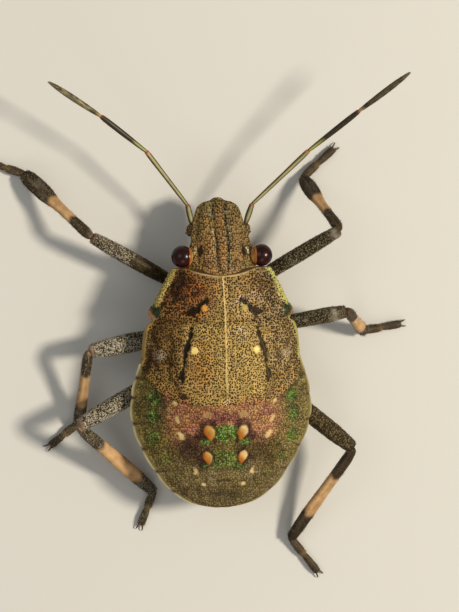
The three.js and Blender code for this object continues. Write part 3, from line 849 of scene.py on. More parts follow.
def head_colours(grid):
    side, station = grid["side"], grid["station"]
    away = np.abs(side)
    groove, lip = head_grooves(grid)
    eye_spot = spot(away, station, (0.92, 2.2), (0.1, 0.24), lean=-12, rough=0.3)
    fleck = spot(away, station, (1.1, 2.22), (0.045, 0.16), lean=-15, rough=0.25)
    lid = ridge(station - EYE_STATION, 0.4) * blend(1.24, 1.34, away)
    ground = coats(
        grid,
        head_ground(grid),
        HEAD_TONES,
        ("groove_lip", 0.7, lip),
        ("groove_side", 0.7, groove),
        ("eye_spot", 0.92, eye_spot),
        ("fleck", 0.7, fleck),
        ("lid", 0.9, lid),
        ("throat", 0.75, grid["below"]),
    )
    amount = np.clip(1.0 - 0.9 * lid - 0.25 * grid["below"] - 0.4 * eye_spot, 0, 1)
    ground, speck = granular(ground, amount)
    broken = blend(-0.6, 0.4, uneven(side, station, 0.11, 20))
    ground = coats(grid, ground, HEAD_TONES, ("groove", 0.85, groove))
    speck = coats(grid, speck, HEAD_TONES, ("groove_grain", 1.0, groove * (0.1 + 0.55 * broken)))
    return {"ground": ground, "speck": speck, "amount": amount, "metal": 0 * side, "gloss": 0.1 * fleck}


# %% Build the head
head = plate(
    "head_shell",
    lambda away: 0 * away,
    lambda away: collar_line(away, 0.22),
    HEAD,
    head_relief,
    head_colours,
    rows=110,
    top=200,
    bottom=70,
    crowd=1.15,
)
dress(head, "body_shell", grain_finish, "head")

# %% [markdown]
# ### Pronotum
# The plate behind the head has a pale, toothed side rim, a corner knob on each side with a dark metallic
# spot in a half ring of tan, a pale line down the middle, and a pair of pale dots, each beside a dark
# hook. The teeth could be an array of small cones. They are so low that a wave along the rim does, and it
# keeps the shell in one piece.


# %% Pronotum: lines on the plate
HOOK = [(1.62, 4.74, 0.05), (1.3, 4.72, 0.14), (1.05, 4.48, 0.09), (0.9, 4.28, 0.07), (0.72, 4.2, 0.04)]
FRONT_FOLD = [(1.75, 3.3, 0.05), (2.02, 3.8, 0.1), (2.1, 4.3, 0.06)]
PRONOTUM_END = {"middle": 5.22, "rise": 0.1, "half": 2.95}
TOOTH_STEP = 0.17


def pronotum_end(away, shift=0.0):
    bow = np.minimum(1, away / PRONOTUM_END["half"]) ** 2
    return PRONOTUM_END["middle"] - PRONOTUM_END["rise"] * bow + shift


# %% Pronotum: relief
def rim_teeth(grid, toothed):
    """Height of the small teeth, and how far they stick out."""
    side, station = np.abs(grid["side"]), grid["station"]
    wave = station * np.pi / TOOTH_STEP + 1.5 * uneven(side, station, 0.6, 2)
    teeth = 0.05 * np.abs(np.sin(wave)) * toothed
    return teeth, np.sign(grid["side"]) * teeth * grid["reach"] ** 14


def pronotum_relief(grid):
    side, station = np.abs(grid["side"]), grid["station"]
    inward = rim_distance(grid)
    toothed = blend(3.0, 3.15, station) * fading(4.45, 4.6, station)
    teeth, out = rim_teeth(grid, toothed)
    collar = station - collar_line(side)
    crease = station - pronotum_end(side, -0.14)
    lift = (
        0.05 * ridge(inward, 0.16) * toothed + 0.5 * teeth * (inward < 0.2)
        - 0.05 * fading(-0.05, 0.16, stroke(side, station, FRONT_FOLD, 0.05, seed=7))
        - 0.075 * ridge(inward - 0.32, 0.13) * toothed
        + 0.03 * ridge(collar - 0.04, 0.05) - 0.04 * ridge(collar - 0.16, 0.07)
        + 0.07 * spot(side, station, (2.86, 4.72), (0.26, 0.26), soft=0.6)
        + 0.06 * spot(side, station, (1.1, 3.9), (0.55, 0.36), lean=12, soft=0.7)
        - 0.05 * fading(-0.04, 0.12, stroke(side, station, HOOK, 0.06))
        + 0.035 * spot(side, station, (0.86, 4.55), (0.17, 0.17), soft=0.5)
        + 0.02 * ridge(side, 0.05) - 0.02 * ridge(side - 0.16, 0.08)
        - 0.035 * ridge(crease, 0.09) + 0.03 * blend(-0.02, 0.1, crease)
        + 0.018 * uneven(grid["side"], station, 0.3, 11)
    )
    return out, lift * blend(0.0, 0.25, grid["rise"])


# %% Pronotum: palette
PRONOTUM_TONES = palette(
    ground="987c4c",
    # The flank is darker on the bug's left: partly painted shade, as the light falls from the right.
    flank=("6a4a24", "7a6a4a"),
    rust="78401e",
    black="1a0d05",
    warm="8a5a30",
    hook="100703",
    wine="7a3a2a",
    frost="b8ac9c",
    dot=("b5803a", "a8984e"),
    tail_dot="a06a2c",
    middle="c6ae76",
    rim=("95864a", "9f9c56"),
    under_collar="38260f",
    collar="a08c6a",
    ring="bc8a60",
    hole="1a3524",
    belly="7c6c40",
    speck="221002",
    dark_speck="120803",
)


# %% Pronotum: ground and dark marks
def pronotum_darks(grid):
    """The fold behind the eye, the hook, and all that is dark together."""
    side, station = grid["side"], grid["station"]
    away = np.abs(side)
    front_dark = spot(away, station, (1.72, 3.45), (0.42, 0.3), lean=25, soft=0.6, rough=0.4, seed=6)
    fold = stroke(away, station, [(1.75, 3.3, 0.06)] + FRONT_FOLD[1:], 0.08, seed=7)
    # Partly painted shade: the fold behind the eye is darkened as a crease in shade, more on the left than
    # on the right.
    shade = np.maximum(front_dark, fading(-0.03, 0.12, fold)) * by_side(grid, (0.85, 0.45))
    hook = fading(-0.02, 0.08, stroke(away, station, HOOK, 0.06)) * by_side(grid, (1.0, 0.9))
    seam = ridge(station - pronotum_end(away, -0.13), 0.06)
    seam = seam * blend(-0.4, 0.6, uneven(side, station, 0.3, 14))
    return hook, np.maximum.reduce([shade, hook, 0.5 * seam])


def pronotum_ground(grid, flank, rust):
    """Ochre, with darker flanks, and a rusty, blotched front corner on the left."""
    side, station = grid["side"], grid["station"]
    ground = np.zeros(side.shape + (3,)) + PRONOTUM_TONES["ground"][0]
    # Painted shade: the ground grows darker towards the bug's left, away from the light.
    ground = ground * (0.94 - 0.16 * blend(-0.3, 0.5, side))[..., None] * [0.98, 1.0, 0.92]
    black = blend(0.15, 0.7, uneven(side, station, 0.2, 22)) * blend(0.5, 1.3, np.abs(side))
    return coats(
        grid,
        ground,
        PRONOTUM_TONES,
        ("flank", 0.8, flank),
        ("rust", 0.75, rust),
        ("black", (0.75, 0.3), black * fading(4.4, 4.9, station)),
        ("warm", 0.25, spot(-side, station, (1.3, 3.85), (0.7, 0.8), soft=0.8)),
    )


# %% Pronotum: dots, rim, collar and knob
def pronotum_pales(grid):
    """The smooth, pale marks, in which there are no pits."""
    side, station = grid["side"], grid["station"]
    away = np.abs(side)
    rim = fading(0.18, 0.3, rim_distance(grid) + 0.05 * uneven(side, station, 0.16, 7))
    collar = station - collar_line(away)
    ring = spot(away, station, (2.9, 4.77), (0.25, 0.3), lean=-15, soft=0.2, rough=0.2)
    ring = ring * blend(4.55, 4.85, station + 0.4 * (away - 2.8)) * by_side(grid, (1.0, 0.35))
    return {
        "dot": spot(away, station, (0.86, 4.55), (0.13, 0.14), soft=0.3, rough=0.25, seed=8),
        "tail_dot": spot(away, station, (1.0, 4.85), (0.22, 0.1), lean=20, soft=0.6, rough=0.4, seed=12),
        "middle": middle_line(side, station, grid["rise"]),
        "rim": rim * fading(4.4, 4.6, station),
        # Painted shade on the front face of the collar, under the back of the head.
        "under_collar": fading(0.0, 0.03, collar),
        "collar": fading(0.015, 0.05, np.abs(collar - 0.055)) * fading(0.9, 1.5, away),
        "lip": fading(0.03, 0.07, collar),
        "ring": ring,
        "hole": spot(away, station, (2.8, 4.7), (0.2, 0.24), soft=0.35, rough=0.35),
    }


def pronotum_colours(grid):
    side, station = grid["side"], grid["station"]
    flank = blend(0.9, 1.9, np.abs(side) + 0.2 * uneven(side, station, 0.3, 14))
    rust = spot(side, station, (1.3, 3.85), (0.8, 0.85), lean=-10, soft=0.7, rough=0.3, seed=5)
    hook, dark = pronotum_darks(grid)
    pales = pronotum_pales(grid)
    # Painted sheen: a patch of pale grey glints on the lit right side of the plate.
    frost = spot(side, station, (-0.95, 4.3), (0.5, 0.4), soft=0.8)
    frost = frost * blend(0.0, 0.5, uneven(side, station, 0.08, 28))
    ground = coats(
        grid,
        pronotum_ground(grid, flank, rust),
        PRONOTUM_TONES,
        ("black", 0.85, dark),
        ("hook", 0.97, hook),
        ("wine", (0.0, 0.3), spot(side, station, (1.0, 3.95), (0.5, 0.3), soft=0.8)),
        ("frost", 0.6, frost * (1 - 0.9 * hook)),
        ("dot", 1.0, pales["dot"]),
        ("tail_dot", (0.6, 0.0), pales["tail_dot"]),
        ("middle", 0.85, pales["middle"]),
        ("rim", 0.92, pales["rim"]),
        # Painted shade on the collar's front face, under the head.
        ("under_collar", 0.9, pales["under_collar"]),
        ("collar", 0.75, pales["collar"]),
        ("ring", 0.85, pales["ring"]),
        ("hole", 0.95, pales["hole"]),
        ("belly", 0.7, grid["below"]),
    )
    smooth = [by_side(grid, (0.72, 0.85)) * pales["rim"], pales["dot"], 0.9 * pales["middle"]]
    smooth += [pales["ring"], 0.7 * pales["hole"], pales["collar"], pales["lip"]]
    smooth = np.maximum.reduce(smooth)
    amount = np.clip(0.78 + 0.32 * flank + 0.35 * dark - 0.95 * smooth, 0, 1.2) - 0.3 * grid["below"]
    speck = np.zeros_like(ground) + PRONOTUM_TONES["speck"][0]
    speck = coats(grid, speck, PRONOTUM_TONES, ("dark_speck", 1.0, np.maximum(0.8 * rust, dark)))
    shine = {"metal": 0.5 * pales["hole"], "gloss": 0.12 * np.maximum(pales["hole"], pales["dot"])}
    return {"ground": ground, "speck": speck, "amount": np.clip(amount, 0, 1.2), **shine}


# %% Build the pronotum
pronotum = plate(
    "pronotum_shell",
    collar_line,
    lambda away: pronotum_end(away, 0.03),
    BODY,
    pronotum_relief,
    pronotum_colours,
    rows=90,
    top=320,
    bottom=90,
)
dress(pronotum, "body_shell", shell_finish, "pronotum")

# %% [markdown]
# ### Scutellum and wing pads
# The nymph's wings are still flaps that are one with the plate between them, so all three are one piece.
# Together they end in one rounded line over the abdomen. A dark furrow on each side parts the flap from
# the middle, and the flap's outer edge is pale and, near its end, wrinkled. Furrow and folds are strokes
# along a few points, used twice: once for the relief and once for the colour.


# %% Wing pads: lines on the plate
PADS = {"start": 6.9, "reach": 1.74, "half": 3.4, "bend": 3.2, "round": 0.6}
STERNUM = {"start": 6.9, "reach": 0.9, "half": 3.4, "bend": 4.0, "round": 0.6}
FURROW = [(1.4, 5.35, 0.04), (1.46, 5.75, 0.05), (1.6, 6.12, 0.09), (1.68, 6.35, 0.08), (1.73, 6.7, 0.025)]
FURROW += [(1.76, 7.0, 0.03), (1.82, 7.25, 0.07), (1.86, 7.42, 0.1), (1.84, 7.58, 0.03)]
PAD_FOLDS = [
    [(2.3, 5.5, 0.02), (2.2, 6.1, 0.05), (2.35, 6.8, 0.03), (2.3, 7.5, 0.02)],
    [(2.95, 5.7, 0.03), (2.8, 6.2, 0.06), (2.95, 6.9, 0.05), (2.75, 7.3, 0.02)],
    [(2.0, 6.9, 0.02), (2.1, 7.6, 0.04), (1.95, 8.2, 0.02)],
]
PAD_DOT = (1.32, 6.3)
WRINKLE_STEP = 0.2


def rounded_end(sizes, away):
    bulge = np.maximum(1 - (np.minimum(away, sizes["half"]) / sizes["half"]) ** sizes["bend"], 0)
    return sizes["start"] + sizes["reach"] * bulge ** sizes["round"]


# %% Wing pads: relief
def wrinkles(side, station, inward):
    """Small folds across the outer edge of a pad, behind its middle."""
    where = blend(5.7, 6.0, station) * fading(6.9, 7.1, station) * ridge(inward - 0.3, 0.22)
    wave = station * 2 * np.pi / WRINKLE_STEP + 2.0 * uneven(side, station, 0.3, 2)
    return 0.03 * np.sin(wave) * where


def pads_relief(grid):
    side, station = np.abs(grid["side"]), grid["station"]
    inward = rim_distance(grid)
    furrow = stroke(side, station, FURROW, 0.02)
    lift = (
        -0.05 * fading(-0.06, 0.12, furrow)
        + 0.04 * ridge(furrow - 0.25, 0.16) * blend(1.5, 1.75, side)
    )
    for fold in PAD_FOLDS:
        lift = lift - 0.035 * fading(-0.04, 0.12, stroke(side, station, fold, 0.04, seed=27))
    lift = (
        lift
        + 0.06 * blend(0.0, 0.5, station - 5.3)
        - 0.035 * fading(0.0, 0.16, rounded_end(PADS, side) - station)
        + 0.05 * ridge(inward, 0.12) - 0.05 * ridge(inward - 0.26, 0.1)
        + wrinkles(side, station, inward)
        + 0.02 * ridge(side, 0.05) - 0.02 * ridge(side - 0.16, 0.08)
        - 0.04 * spot(side, station, (2.75, 6.5), (0.3, 0.2), soft=0.8)
        + 0.04 * spot(side, station, PAD_DOT, (0.18, 0.18), soft=0.5)
        + 0.02 * uneven(grid["side"], station, 0.35, 21)
    )
    return 0 * side, lift * blend(0.0, 0.25, grid["rise"])


# %% Wing pads: palette
PADS_TONES = palette(
    ground="987c4c",
    scutellum="9e834e",
    # The pad is darker on the bug's left: partly painted shade, as the light falls from the right.
    pad=("705226", "84704a"),
    chestnut="7c4420",
    rust="8e5c26",
    patch="241305",
    pale="a08c66",
    rear="8c7038",
    band="150c07",
    inner_band="221002",
    frost="b8ac9c",
    hollow="9a8a72",
    fold="241408",
    furrow="0c0603",
    dot="c4b06a",
    middle="bca468",
    mauve="925c42",
    small="150c07",
    tip="b8a074",
    rim=("8f7848", "8e8a4a"),
    belly="8f8050",
    speck="281503",
    dark_speck="1e0f04",
)


# %% Wing pads: ground
def pads_ground(grid, pad):
    """Ochre in the middle, and browner, blotched pads with a rusty stripe beside the left furrow."""
    side, station = grid["side"], grid["station"]
    away = np.abs(side)
    ground = np.zeros(side.shape + (3,)) + PADS_TONES["ground"][0]
    ground = coats(grid, ground, PADS_TONES, ("scutellum", 0.8, fading(1.2, 2.0, away)))
    # Painted shade: the ground grows a little darker towards the bug's left, away from the light.
    ground = ground * (0.95 - 0.05 * blend(-0.3, 0.5, side))[..., None] * [0.98, 1.0, 0.9]
    patch = blend(0.1, 0.7, uneven(side, station, 0.24, 24)) * blend(1.6, 2.1, away)
    pale = blend(0.3, 0.8, uneven(side, station, 0.27, 26)) * blend(1.8, 2.3, away)
    return coats(
        grid,
        ground,
        PADS_TONES,
        ("pad", 0.8, pad),
        ("chestnut", (0.45, 0.0), blend(-0.2, 0.8, uneven(side, station, 0.7, 15)) * pad),
        ("rust", 0.5, spot(side, station, (1.15, 7.0), (0.5, 1.0), soft=0.8, rough=0.3, seed=16)),
        ("patch", (0.55, 0.3), patch),
        ("pale", (0.3, 0.5), pale),
        ("rear", 0.55, pad * blend(6.8, 7.4, station)),
    )


# %% Wing pads: bands, furrow and folds
def pads_darks(grid, ground, furrow, hollow):
    side, station = grid["side"], grid["station"]
    away = np.abs(side)
    inward = rim_distance(grid)
    band = ridge(inward - 0.32, 0.16) * blend(6.0, 6.4, station) * fading(7.1, 7.5, station)
    # Painted sheen: pale grey glints on the lit right side, in front of the pads.
    frost = spot(side, station, (-0.75, 5.45), (0.4, 0.3), soft=0.8)
    ground = coats(
        grid,
        ground,
        PADS_TONES,
        ("band", (0.85, 0.35), band),
        ("inner_band", (0.6, 0.25), ridge(inward - 0.5, 0.22) * fading(5.9, 6.3, station)),
        ("frost", 0.5, frost * blend(0.0, 0.5, uneven(side, station, 0.08, 28))),
        ("hollow", 0.6, hollow),
    )
    for fold in PAD_FOLDS:
        crease = fading(-0.04, 0.12, stroke(away, station, fold, 0.05, seed=27))
        ground = coats(grid, ground, PADS_TONES, ("fold", (0.6, 0.3), crease))
    return coats(grid, ground, PADS_TONES, ("furrow", (1.0, 0.96), furrow))


# %% Wing pads: colours
def pads_colours(grid):
    side, station = grid["side"], grid["station"]
    away = np.abs(side)
    pad = blend(1.5, 2.2, away)
    furrow = fading(-0.01, 0.07, stroke(away, station, FURROW, 0.07, seed=23))
    hollow = spot(away, station, (2.72, 6.52), (0.26, 0.2), soft=0.6, rough=0.25, seed=17)
    dot = spot(away, station, PAD_DOT, (0.155, 0.15), soft=0.25, rough=0.1, seed=8)
    middle = middle_line(side, station, grid["rise"]) * (1 - 0.7 * blend(7.4, 8.4, station))
    mauve = fading(0.0, 0.55, rounded_end(PADS, away) - station)
    mauve = mauve * blend(-0.6, 0.5, uneven(side, station, 0.4, 19)) * (away < 2.6)
    rim = fading(0.1, 0.17, rim_distance(grid) + 0.02 * uneven(side, station, 0.2, 13))
    rim = rim * (grid["rise"] > -0.3)
    ground = coats(
        grid,
        pads_darks(grid, pads_ground(grid, pad), furrow, hollow),
        PADS_TONES,
        ("dot", 1.0, dot),
        ("middle", 0.8, middle),
        ("mauve", 0.8, mauve),
        ("small", (0.9, 0.3), spot(away, station, (1.76, 8.25), (0.15, 0.13), rough=0.35, seed=5)),
        ("tip", 0.7, spot(side, station, (0.02, 8.52), (0.13, 0.15), soft=0.6, rough=0.3, seed=4)),
        ("rim", 0.9, rim),
        ("belly", 0.7, grid["below"]),
    )
    smooth = np.maximum.reduce([rim, dot, 0.9 * middle, furrow, 0.5 * hollow])
    amount = np.clip(np.clip(0.78 + 0.22 * pad - 0.95 * smooth, 0, 1) - 0.3 * grid["below"], 0, 1)
    speck = np.zeros_like(ground) + PADS_TONES["speck"][0]
    speck = coats(grid, speck, PADS_TONES, ("dark_speck", (0.8, 0.0), pad))
    return {"ground": ground, "speck": speck, "amount": amount, "metal": 0 * side, "gloss": 0.15 * dot}


# %% Build the scutellum and wing pads
pads = plate(
    "scutellum_and_wing_pads",
    lambda away: pronotum_end(away, -0.12),
    lambda away: rounded_end(PADS, away),
    {**BODY, "back": [(s, h - 0.05 if s < 5.3 else h) for s, h in BODY_BACK]},
    pads_relief,
    pads_colours,
    rows=150,
    top=420,
    bottom=110,
    rear_below=lambda away: rounded_end(STERNUM, away),
)
dress(pads, "body_shell", shell_finish, "mesothorax")

# %% [markdown]
# ### Abdomen
# Behind the pads the back is thinner skinned: reddish next to the scutellum, dark olive at the sides and
# grey-brown at the tip. The rim bulges once for each ring and is pale. Two low plates in the middle shine
# metallic green, and each carries a pair of orange gland knobs. Small cream scars stand in rows. All of
# this is in the skin of the real one, so it is relief and colour of one plate, not pieces laid on it.


# %% Abdomen: places
ABDOMEN_START = 6.55
RINGS = [(7.49, 7.6), (8.33, 8.5), (9.43, 9.28), (10.52, 10.38), (11.49, 11.4), (12.35, 12.15)]
GLANDS = [(0.7, 9.8, 0.25, 0.33), (0.74, 10.88, 0.21, 0.29)]
PLATES = [(9.86, (0.92, 0.42), 0.06), (10.96, (0.84, 0.38), 0.05)]
BREATHING_HOLES = (7.1, 7.95, 8.9, 9.97, 11.0, 11.95)
SCARS = [
    (2.12, 8.5, 0.07, 0.12, 20),
    (2.06, 9.2, 0.09, 0.16, 25),
    (1.88, 9.88, 0.12, 0.17, 40),
    (1.2, 11.45, 0.1, 0.24, 30),
    (0.86, 12.05, 0.09, 0.06, -20),
]
FLANK_GREENS = [
    (2.95, 8.32, 0.22, 0.28, 1.0),
    (2.98, 9.05, 0.2, 0.26, 1.0),
    (2.96, 10.0, 0.24, 0.28, 0.6),
    (2.5, 10.95, 0.2, 0.2, 0.3),
    (1.95, 11.7, 0.18, 0.18, 0.25),
]


def gland(side, station, sizes, soft=0.16):
    """A drop, broad in front, whose point lies behind and nearer to the middle."""
    x, s, rx, rs = sizes
    v = (station - s) / rs
    wide = rx * (1 - 0.5 * blend(-0.3, 1.1, v))
    u = (np.abs(side) - x + 0.3 * rx * v) / wide
    return 1 - blend(1 - soft, 1 + soft, np.hypot(u, v) + 0.06 * uneven(side, station, 0.12, 61))


def ring_lines(grid):
    """How near each point is to the seam between two rings, from 0 to 1."""
    seam = np.zeros_like(grid["side"])
    for at_rim, at_middle in RINGS:
        line = at_middle + (at_rim - at_middle) * grid["reach"] ** 2
        seam = np.maximum(seam, ridge(grid["station"] - line, 0.045))
    return seam


# %% Abdomen: relief
def abdomen_relief(grid):
    side, station, reach = np.abs(grid["side"]), grid["station"], grid["reach"]
    inward = rim_distance(grid)
    seam = ring_lines(grid)
    folds = np.sin((station - 11.85) * 2 * np.pi / 0.14)
    lift = (
        -0.035 * seam * (0.4 + 0.6 * blend(0.55, 0.9, reach))
        + 0.04 * ridge(inward, 0.14) - 0.045 * ridge(inward - 0.3, 0.12)
        - 0.03 * ridge(inward - 0.95, 0.07) * (station < 12.2)
    )
    for place, radii, proud in PLATES:
        lift = lift + proud * spot(side, station, (0, place), radii, soft=0.5)
    for sizes in GLANDS:
        lift = lift + 0.09 * gland(grid["side"], station, sizes, 0.4)
        lift = lift - 0.03 * gland(grid["side"], station, sizes, 0.8)
    for x, s, rx, rs, lean in SCARS:
        lift = lift + 0.015 * spot(side, station, (x, s), (rx, rs), lean, soft=0.5)
    lift = (
        lift
        + 0.012 * folds * spot(side, station, (0, 11.95), (0.8, 0.3), soft=0.8)
        + 0.02 * uneven(grid["side"], station, 0.28, 31)
        + 0.01 * uneven(grid["side"], station, 0.12, 33)
    )
    under = -0.03 * seam * (grid["rise"] < -0.15)
    return 0 * side, lift * blend(0.0, 0.25, grid["rise"]) + under


# %% Abdomen: palette
ABDOMEN_TONES = palette(
    olive="655729",
    flank=("665a2c", "776a3c"),
    rear="695936",
    red=("925c38", "a27048"),
    pink="99504a",
    straw="ac8458",
    soot="3c2420",
    mid_red="632c32",
    plum="32181a",
    under_green="33361a",
    green="5f8434",
    rear_green="6a7a30",
    around="2c2a18",
    dark="2c2216",
    haze="8c7e5a",
    seam="2e2018",
    gland="94581a",
    gland_lit=("ac8644", "b69c66"),
    tan="b4905e",
    scar="c0a872",
    dash="241a14",
    tail="443a24",
    rim=("675c38", "625a34"),
    outermost="d2c492",
    lobe_end="3a1e1a",
    belly="8f8352",
    hole="150c07",
)


# %% Abdomen: red front and grey-brown tip
def abdomen_ground(grid, rear):
    side, station = grid["side"], grid["station"]
    away = np.abs(side)
    blotch = uneven(side, station, 0.45, 41)
    fine = uneven(side, station, 0.16, 43)
    red = fading(9.7, 10.5, station + 0.3 * blotch) * fading(1.9, 2.75, away + 0.25 * fine)
    plum = spot(away, station, (1.45, 10.45), (0.6, 0.6), soft=0.7, rough=0.35, seed=47)
    pink = blend(-0.1, 0.5, uneven(side, station, 0.34, 46) + 0.4 * fine)
    ground = coats(
        grid,
        np.zeros(side.shape + (3,)) + ABDOMEN_TONES["olive"][0],
        ABDOMEN_TONES,
        ("flank", 0.7, blend(2.2, 2.8, away)),
        ("rear", 0.8, rear),
        ("red", 0.88, red),
        ("pink", 0.6, red * pink),
        ("straw", 0.4, red * blend(0.1, 0.8, fine)),
        ("soot", 0.55, red * blend(0.3, 0.9, uneven(side, station, 0.27, 48))),
        ("mid_red", 0.7, spot(away, station, (0.4, 9.15), (1.1, 0.2), soft=0.6, rough=0.3, seed=45)),
        ("plum", (0.85, 0.5), plum),
    )
    # Painted shadow: a dark plum patch round each gland knob.
    for x, s, rx, rs in GLANDS:
        centre, radii = (x + 0.05, s + 0.02), (rx * 1.9, rs * 1.5)
        shadow = spot(away, station, centre, radii, soft=0.3, rough=0.25, seed=49)
        ground = coats(grid, ground, ABDOMEN_TONES, ("plum", 0.92, shadow))
    return ground


# %% Abdomen: metallic green
def green_places(grid):
    """The two plates, and all the green patches together."""
    side, station = grid["side"], grid["station"]
    away = np.abs(side)
    plates = spot(away, station, (0, 9.84), (0.5, 0.42), soft=0.25, rough=0.25, seed=51)
    plates = np.maximum(plates, spot(away, station, (0, 10.94), (0.56, 0.36), soft=0.3, rough=0.3, seed=53))
    outer = spot(away, station, (0.82, 10.18), (0.3, 0.13), soft=0.4, rough=0.3, seed=55)
    outer = np.maximum(outer, spot(away, station, (0.58, 11.26), (0.34, 0.12), soft=0.4, rough=0.3, seed=56))
    flank = np.zeros_like(side)
    for x, s, rx, rs, strength in FLANK_GREENS:
        patch = spot(away, station, (x, s), (rx, rs), soft=0.5, rough=0.3, seed=57)
        flank = np.maximum(flank, strength * patch)
    return plates, np.clip(np.maximum.reduce([plates, 0.8 * outer, flank]), 0, 1)


def abdomen_greens(grid, ground):
    """The green coat, sparkling in grains, with a darker surround on the flanks."""
    side, station = grid["side"], grid["station"]
    plates, green = green_places(grid)
    ground = coats(grid, ground, ABDOMEN_TONES, ("under_green", 0.9, green))
    green = green * blend(-0.8, 0.3, uneven(side, station, 0.09, 59))
    rear = ((plates > 0.3) & (station > 10.5))[..., None]
    tone = np.where(rear, ABDOMEN_TONES["rear_green"][0], ABDOMEN_TONES["green"][0])
    ground = mixed(ground, tone, green)
    around = spot(np.abs(side), station, (2.96, 8.68), (0.42, 0.95), soft=0.5, rough=0.3, seed=58)
    around = around * (1 - np.clip(green, 0, 1))
    return coats(grid, ground, ABDOMEN_TONES, ("around", (0.5, 0.25), around)), green


# %% Abdomen: blotches, seams and gland knobs
def abdomen_blotches(grid, ground):
    side, station = grid["side"], grid["station"]
    dark = blend(0.1, 0.7, uneven(side, station, 0.26, 60))
    dark = dark * np.maximum(blend(1.9, 2.5, np.abs(side)), 0.8 * blend(10.2, 10.9, station))
    haze = blend(0.0, 0.8, uneven(side, station, 0.34, 68)) * blend(10.6, 11.4, station)
    seam = ring_lines(grid) * (1 - 0.5 * blend(0.3, 0.5, rim_distance(grid)))
    layers = [("dark", 0.55, dark), ("haze", 0.3, haze), ("seam", 0.45, seam)]
    return coats(grid, ground, ABDOMEN_TONES, *layers)


def gland_knobs(grid, ground):
    """Each knob is a deeper orange on the side away from the light, and paler where it is lit."""
    side, station = grid["side"], grid["station"]
    knobs = np.zeros_like(side)
    for sizes in GLANDS:
        x, s, rx, rs = sizes
        knob = gland(side, station, sizes)
        knobs = np.maximum(knobs, knob)
        lit = blend(-0.5, 0.9, -(side - by_side(grid, (x, -x))) / rx - (station - s) / rs)
        plain = np.zeros_like(ground) + ABDOMEN_TONES["gland"][0]
        tone = coats(grid, plain, ABDOMEN_TONES, ("gland_lit", 1.0, lit))
        ground = mixed(ground, tone, knob)
    return ground, knobs


# %% Abdomen: scars, tail and rim
def pale_marks(grid):
    side, station = grid["side"], grid["station"]
    away = np.abs(side)
    scars = np.zeros_like(side)
    for x, s, rx, rs, lean in SCARS:
        scar = spot(away, station, (x, s), (rx, rs), lean, soft=0.45, rough=0.55, seed=63)
        scars = np.maximum(scars, scar)
    return scars, spot(away, station, (0.78, 9.02), (0.24, 0.14), lean=15, soft=0.4, rough=0.3, seed=65)


def abdomen_rim(grid, ground):
    """The pale rim, broken by a dark mark at the end of each lobe."""
    side, station = grid["side"], grid["station"]
    inward = rim_distance(grid)
    nearest = np.zeros_like(side)
    for end in LOBE_ENDS:
        nearest = np.maximum(nearest, ridge(station - end, 0.07))
    rim = fading(0.12, 0.21, inward + 0.03 * uneven(side, station, 0.16, 43)) * (grid["rise"] > -0.4)
    edge = by_side(grid, ABDOMEN_TONES["rim"])
    edge = coats(grid, edge, ABDOMEN_TONES, ("outermost", (0.95, 0.3), fading(0.03, 0.11, inward)))
    ground = mixed(ground, edge, 0.92 * rim * (1 - 0.8 * nearest))
    return coats(grid, ground, ABDOMEN_TONES, ("lobe_end", 0.8, rim * nearest)), rim


def abdomen_belly(grid, ground, rim):
    away, station, below = np.abs(grid["side"]), grid["station"], grid["below"]
    ground = coats(grid, ground, ABDOMEN_TONES, ("belly", 0.8, below * (1 - rim)))
    for at in BREATHING_HOLES:
        centre = (0.8 * lobed_width(np.array(at)), at)
        hole = spot(away, station, centre, (0.08, 0.08), rough=0) * below
        ground = coats(grid, ground, ABDOMEN_TONES, ("hole", 1.0, hole))
    return ground


# %% Abdomen: colours
def abdomen_colours(grid):
    side, station, below = grid["side"], grid["station"], grid["below"]
    away = np.abs(side)
    rear = blend(10.4, 11.8, station)
    ground, green = abdomen_greens(grid, abdomen_ground(grid, rear))
    ground, knobs = gland_knobs(grid, abdomen_blotches(grid, ground))
    scars, tan = pale_marks(grid)
    ground = coats(
        grid,
        ground,
        ABDOMEN_TONES,
        ("tan", (0.65, 0.85), tan),
        ("scar", 0.88, scars),
        ("dash", 0.75, spot(side, station, (0.0, 11.87), (0.42, 0.045), soft=0.4, rough=0.2)),
        ("tail", 0.7, spot(away, station, (0.0, 12.55), (0.75, 0.28), soft=0.8, rough=0.2, seed=67)),
    )
    ground, rim = abdomen_rim(grid, ground)
    ground = abdomen_belly(grid, ground, rim)
    smooth = np.maximum.reduce([rim, 0.9 * scars, 0.6 * tan, knobs])
    amount = np.clip(0.95 - 0.1 * rear - 0.95 * smooth, 0, 1) * (1 - 0.5 * below)
    ground, speck = granular(ground, amount, 0.34)
    shine = {"metal": 0.5 * green * (1 - knobs) * (1 - scars), "gloss": 0.1 * smooth}
    return {"ground": ground, "speck": speck, "amount": amount, **shine}


# %% Build the abdomen
abdomen = plate(
    "abdomen_shell",
    lambda away: ABDOMEN_START + 0 * away,
    lambda away: BODY_LENGTH + 0 * away,
    {**BODY, "back": raised(BODY_BACK, -0.05), "belly": raised(BODY_BELLY, 0.02)},
    abdomen_relief,
    abdomen_colours,
    rows=180,
    top=420,
    bottom=110,
    crowd=0.9,
)
dress(abdomen, "abdomen_shell", grain_finish, "abdomen")

# %% [markdown]
# ## Eyes
# Each eye is a bulging oval, dark maroon and glossy, with fine facets, and paler where it meets the head.
# A thin orange lid of shell rings its inner side. A plain ball would do from afar. Here its rings run
# round the line that points out of the head, so that the lid is a band of rings, a little wider than the
# ball. The facets are far too small to model, so a cell pattern bumps the gloss.

# %% Eye finish
FACETS_PER_METRE = 38000.0
FACET_DEPTH = 3e-6


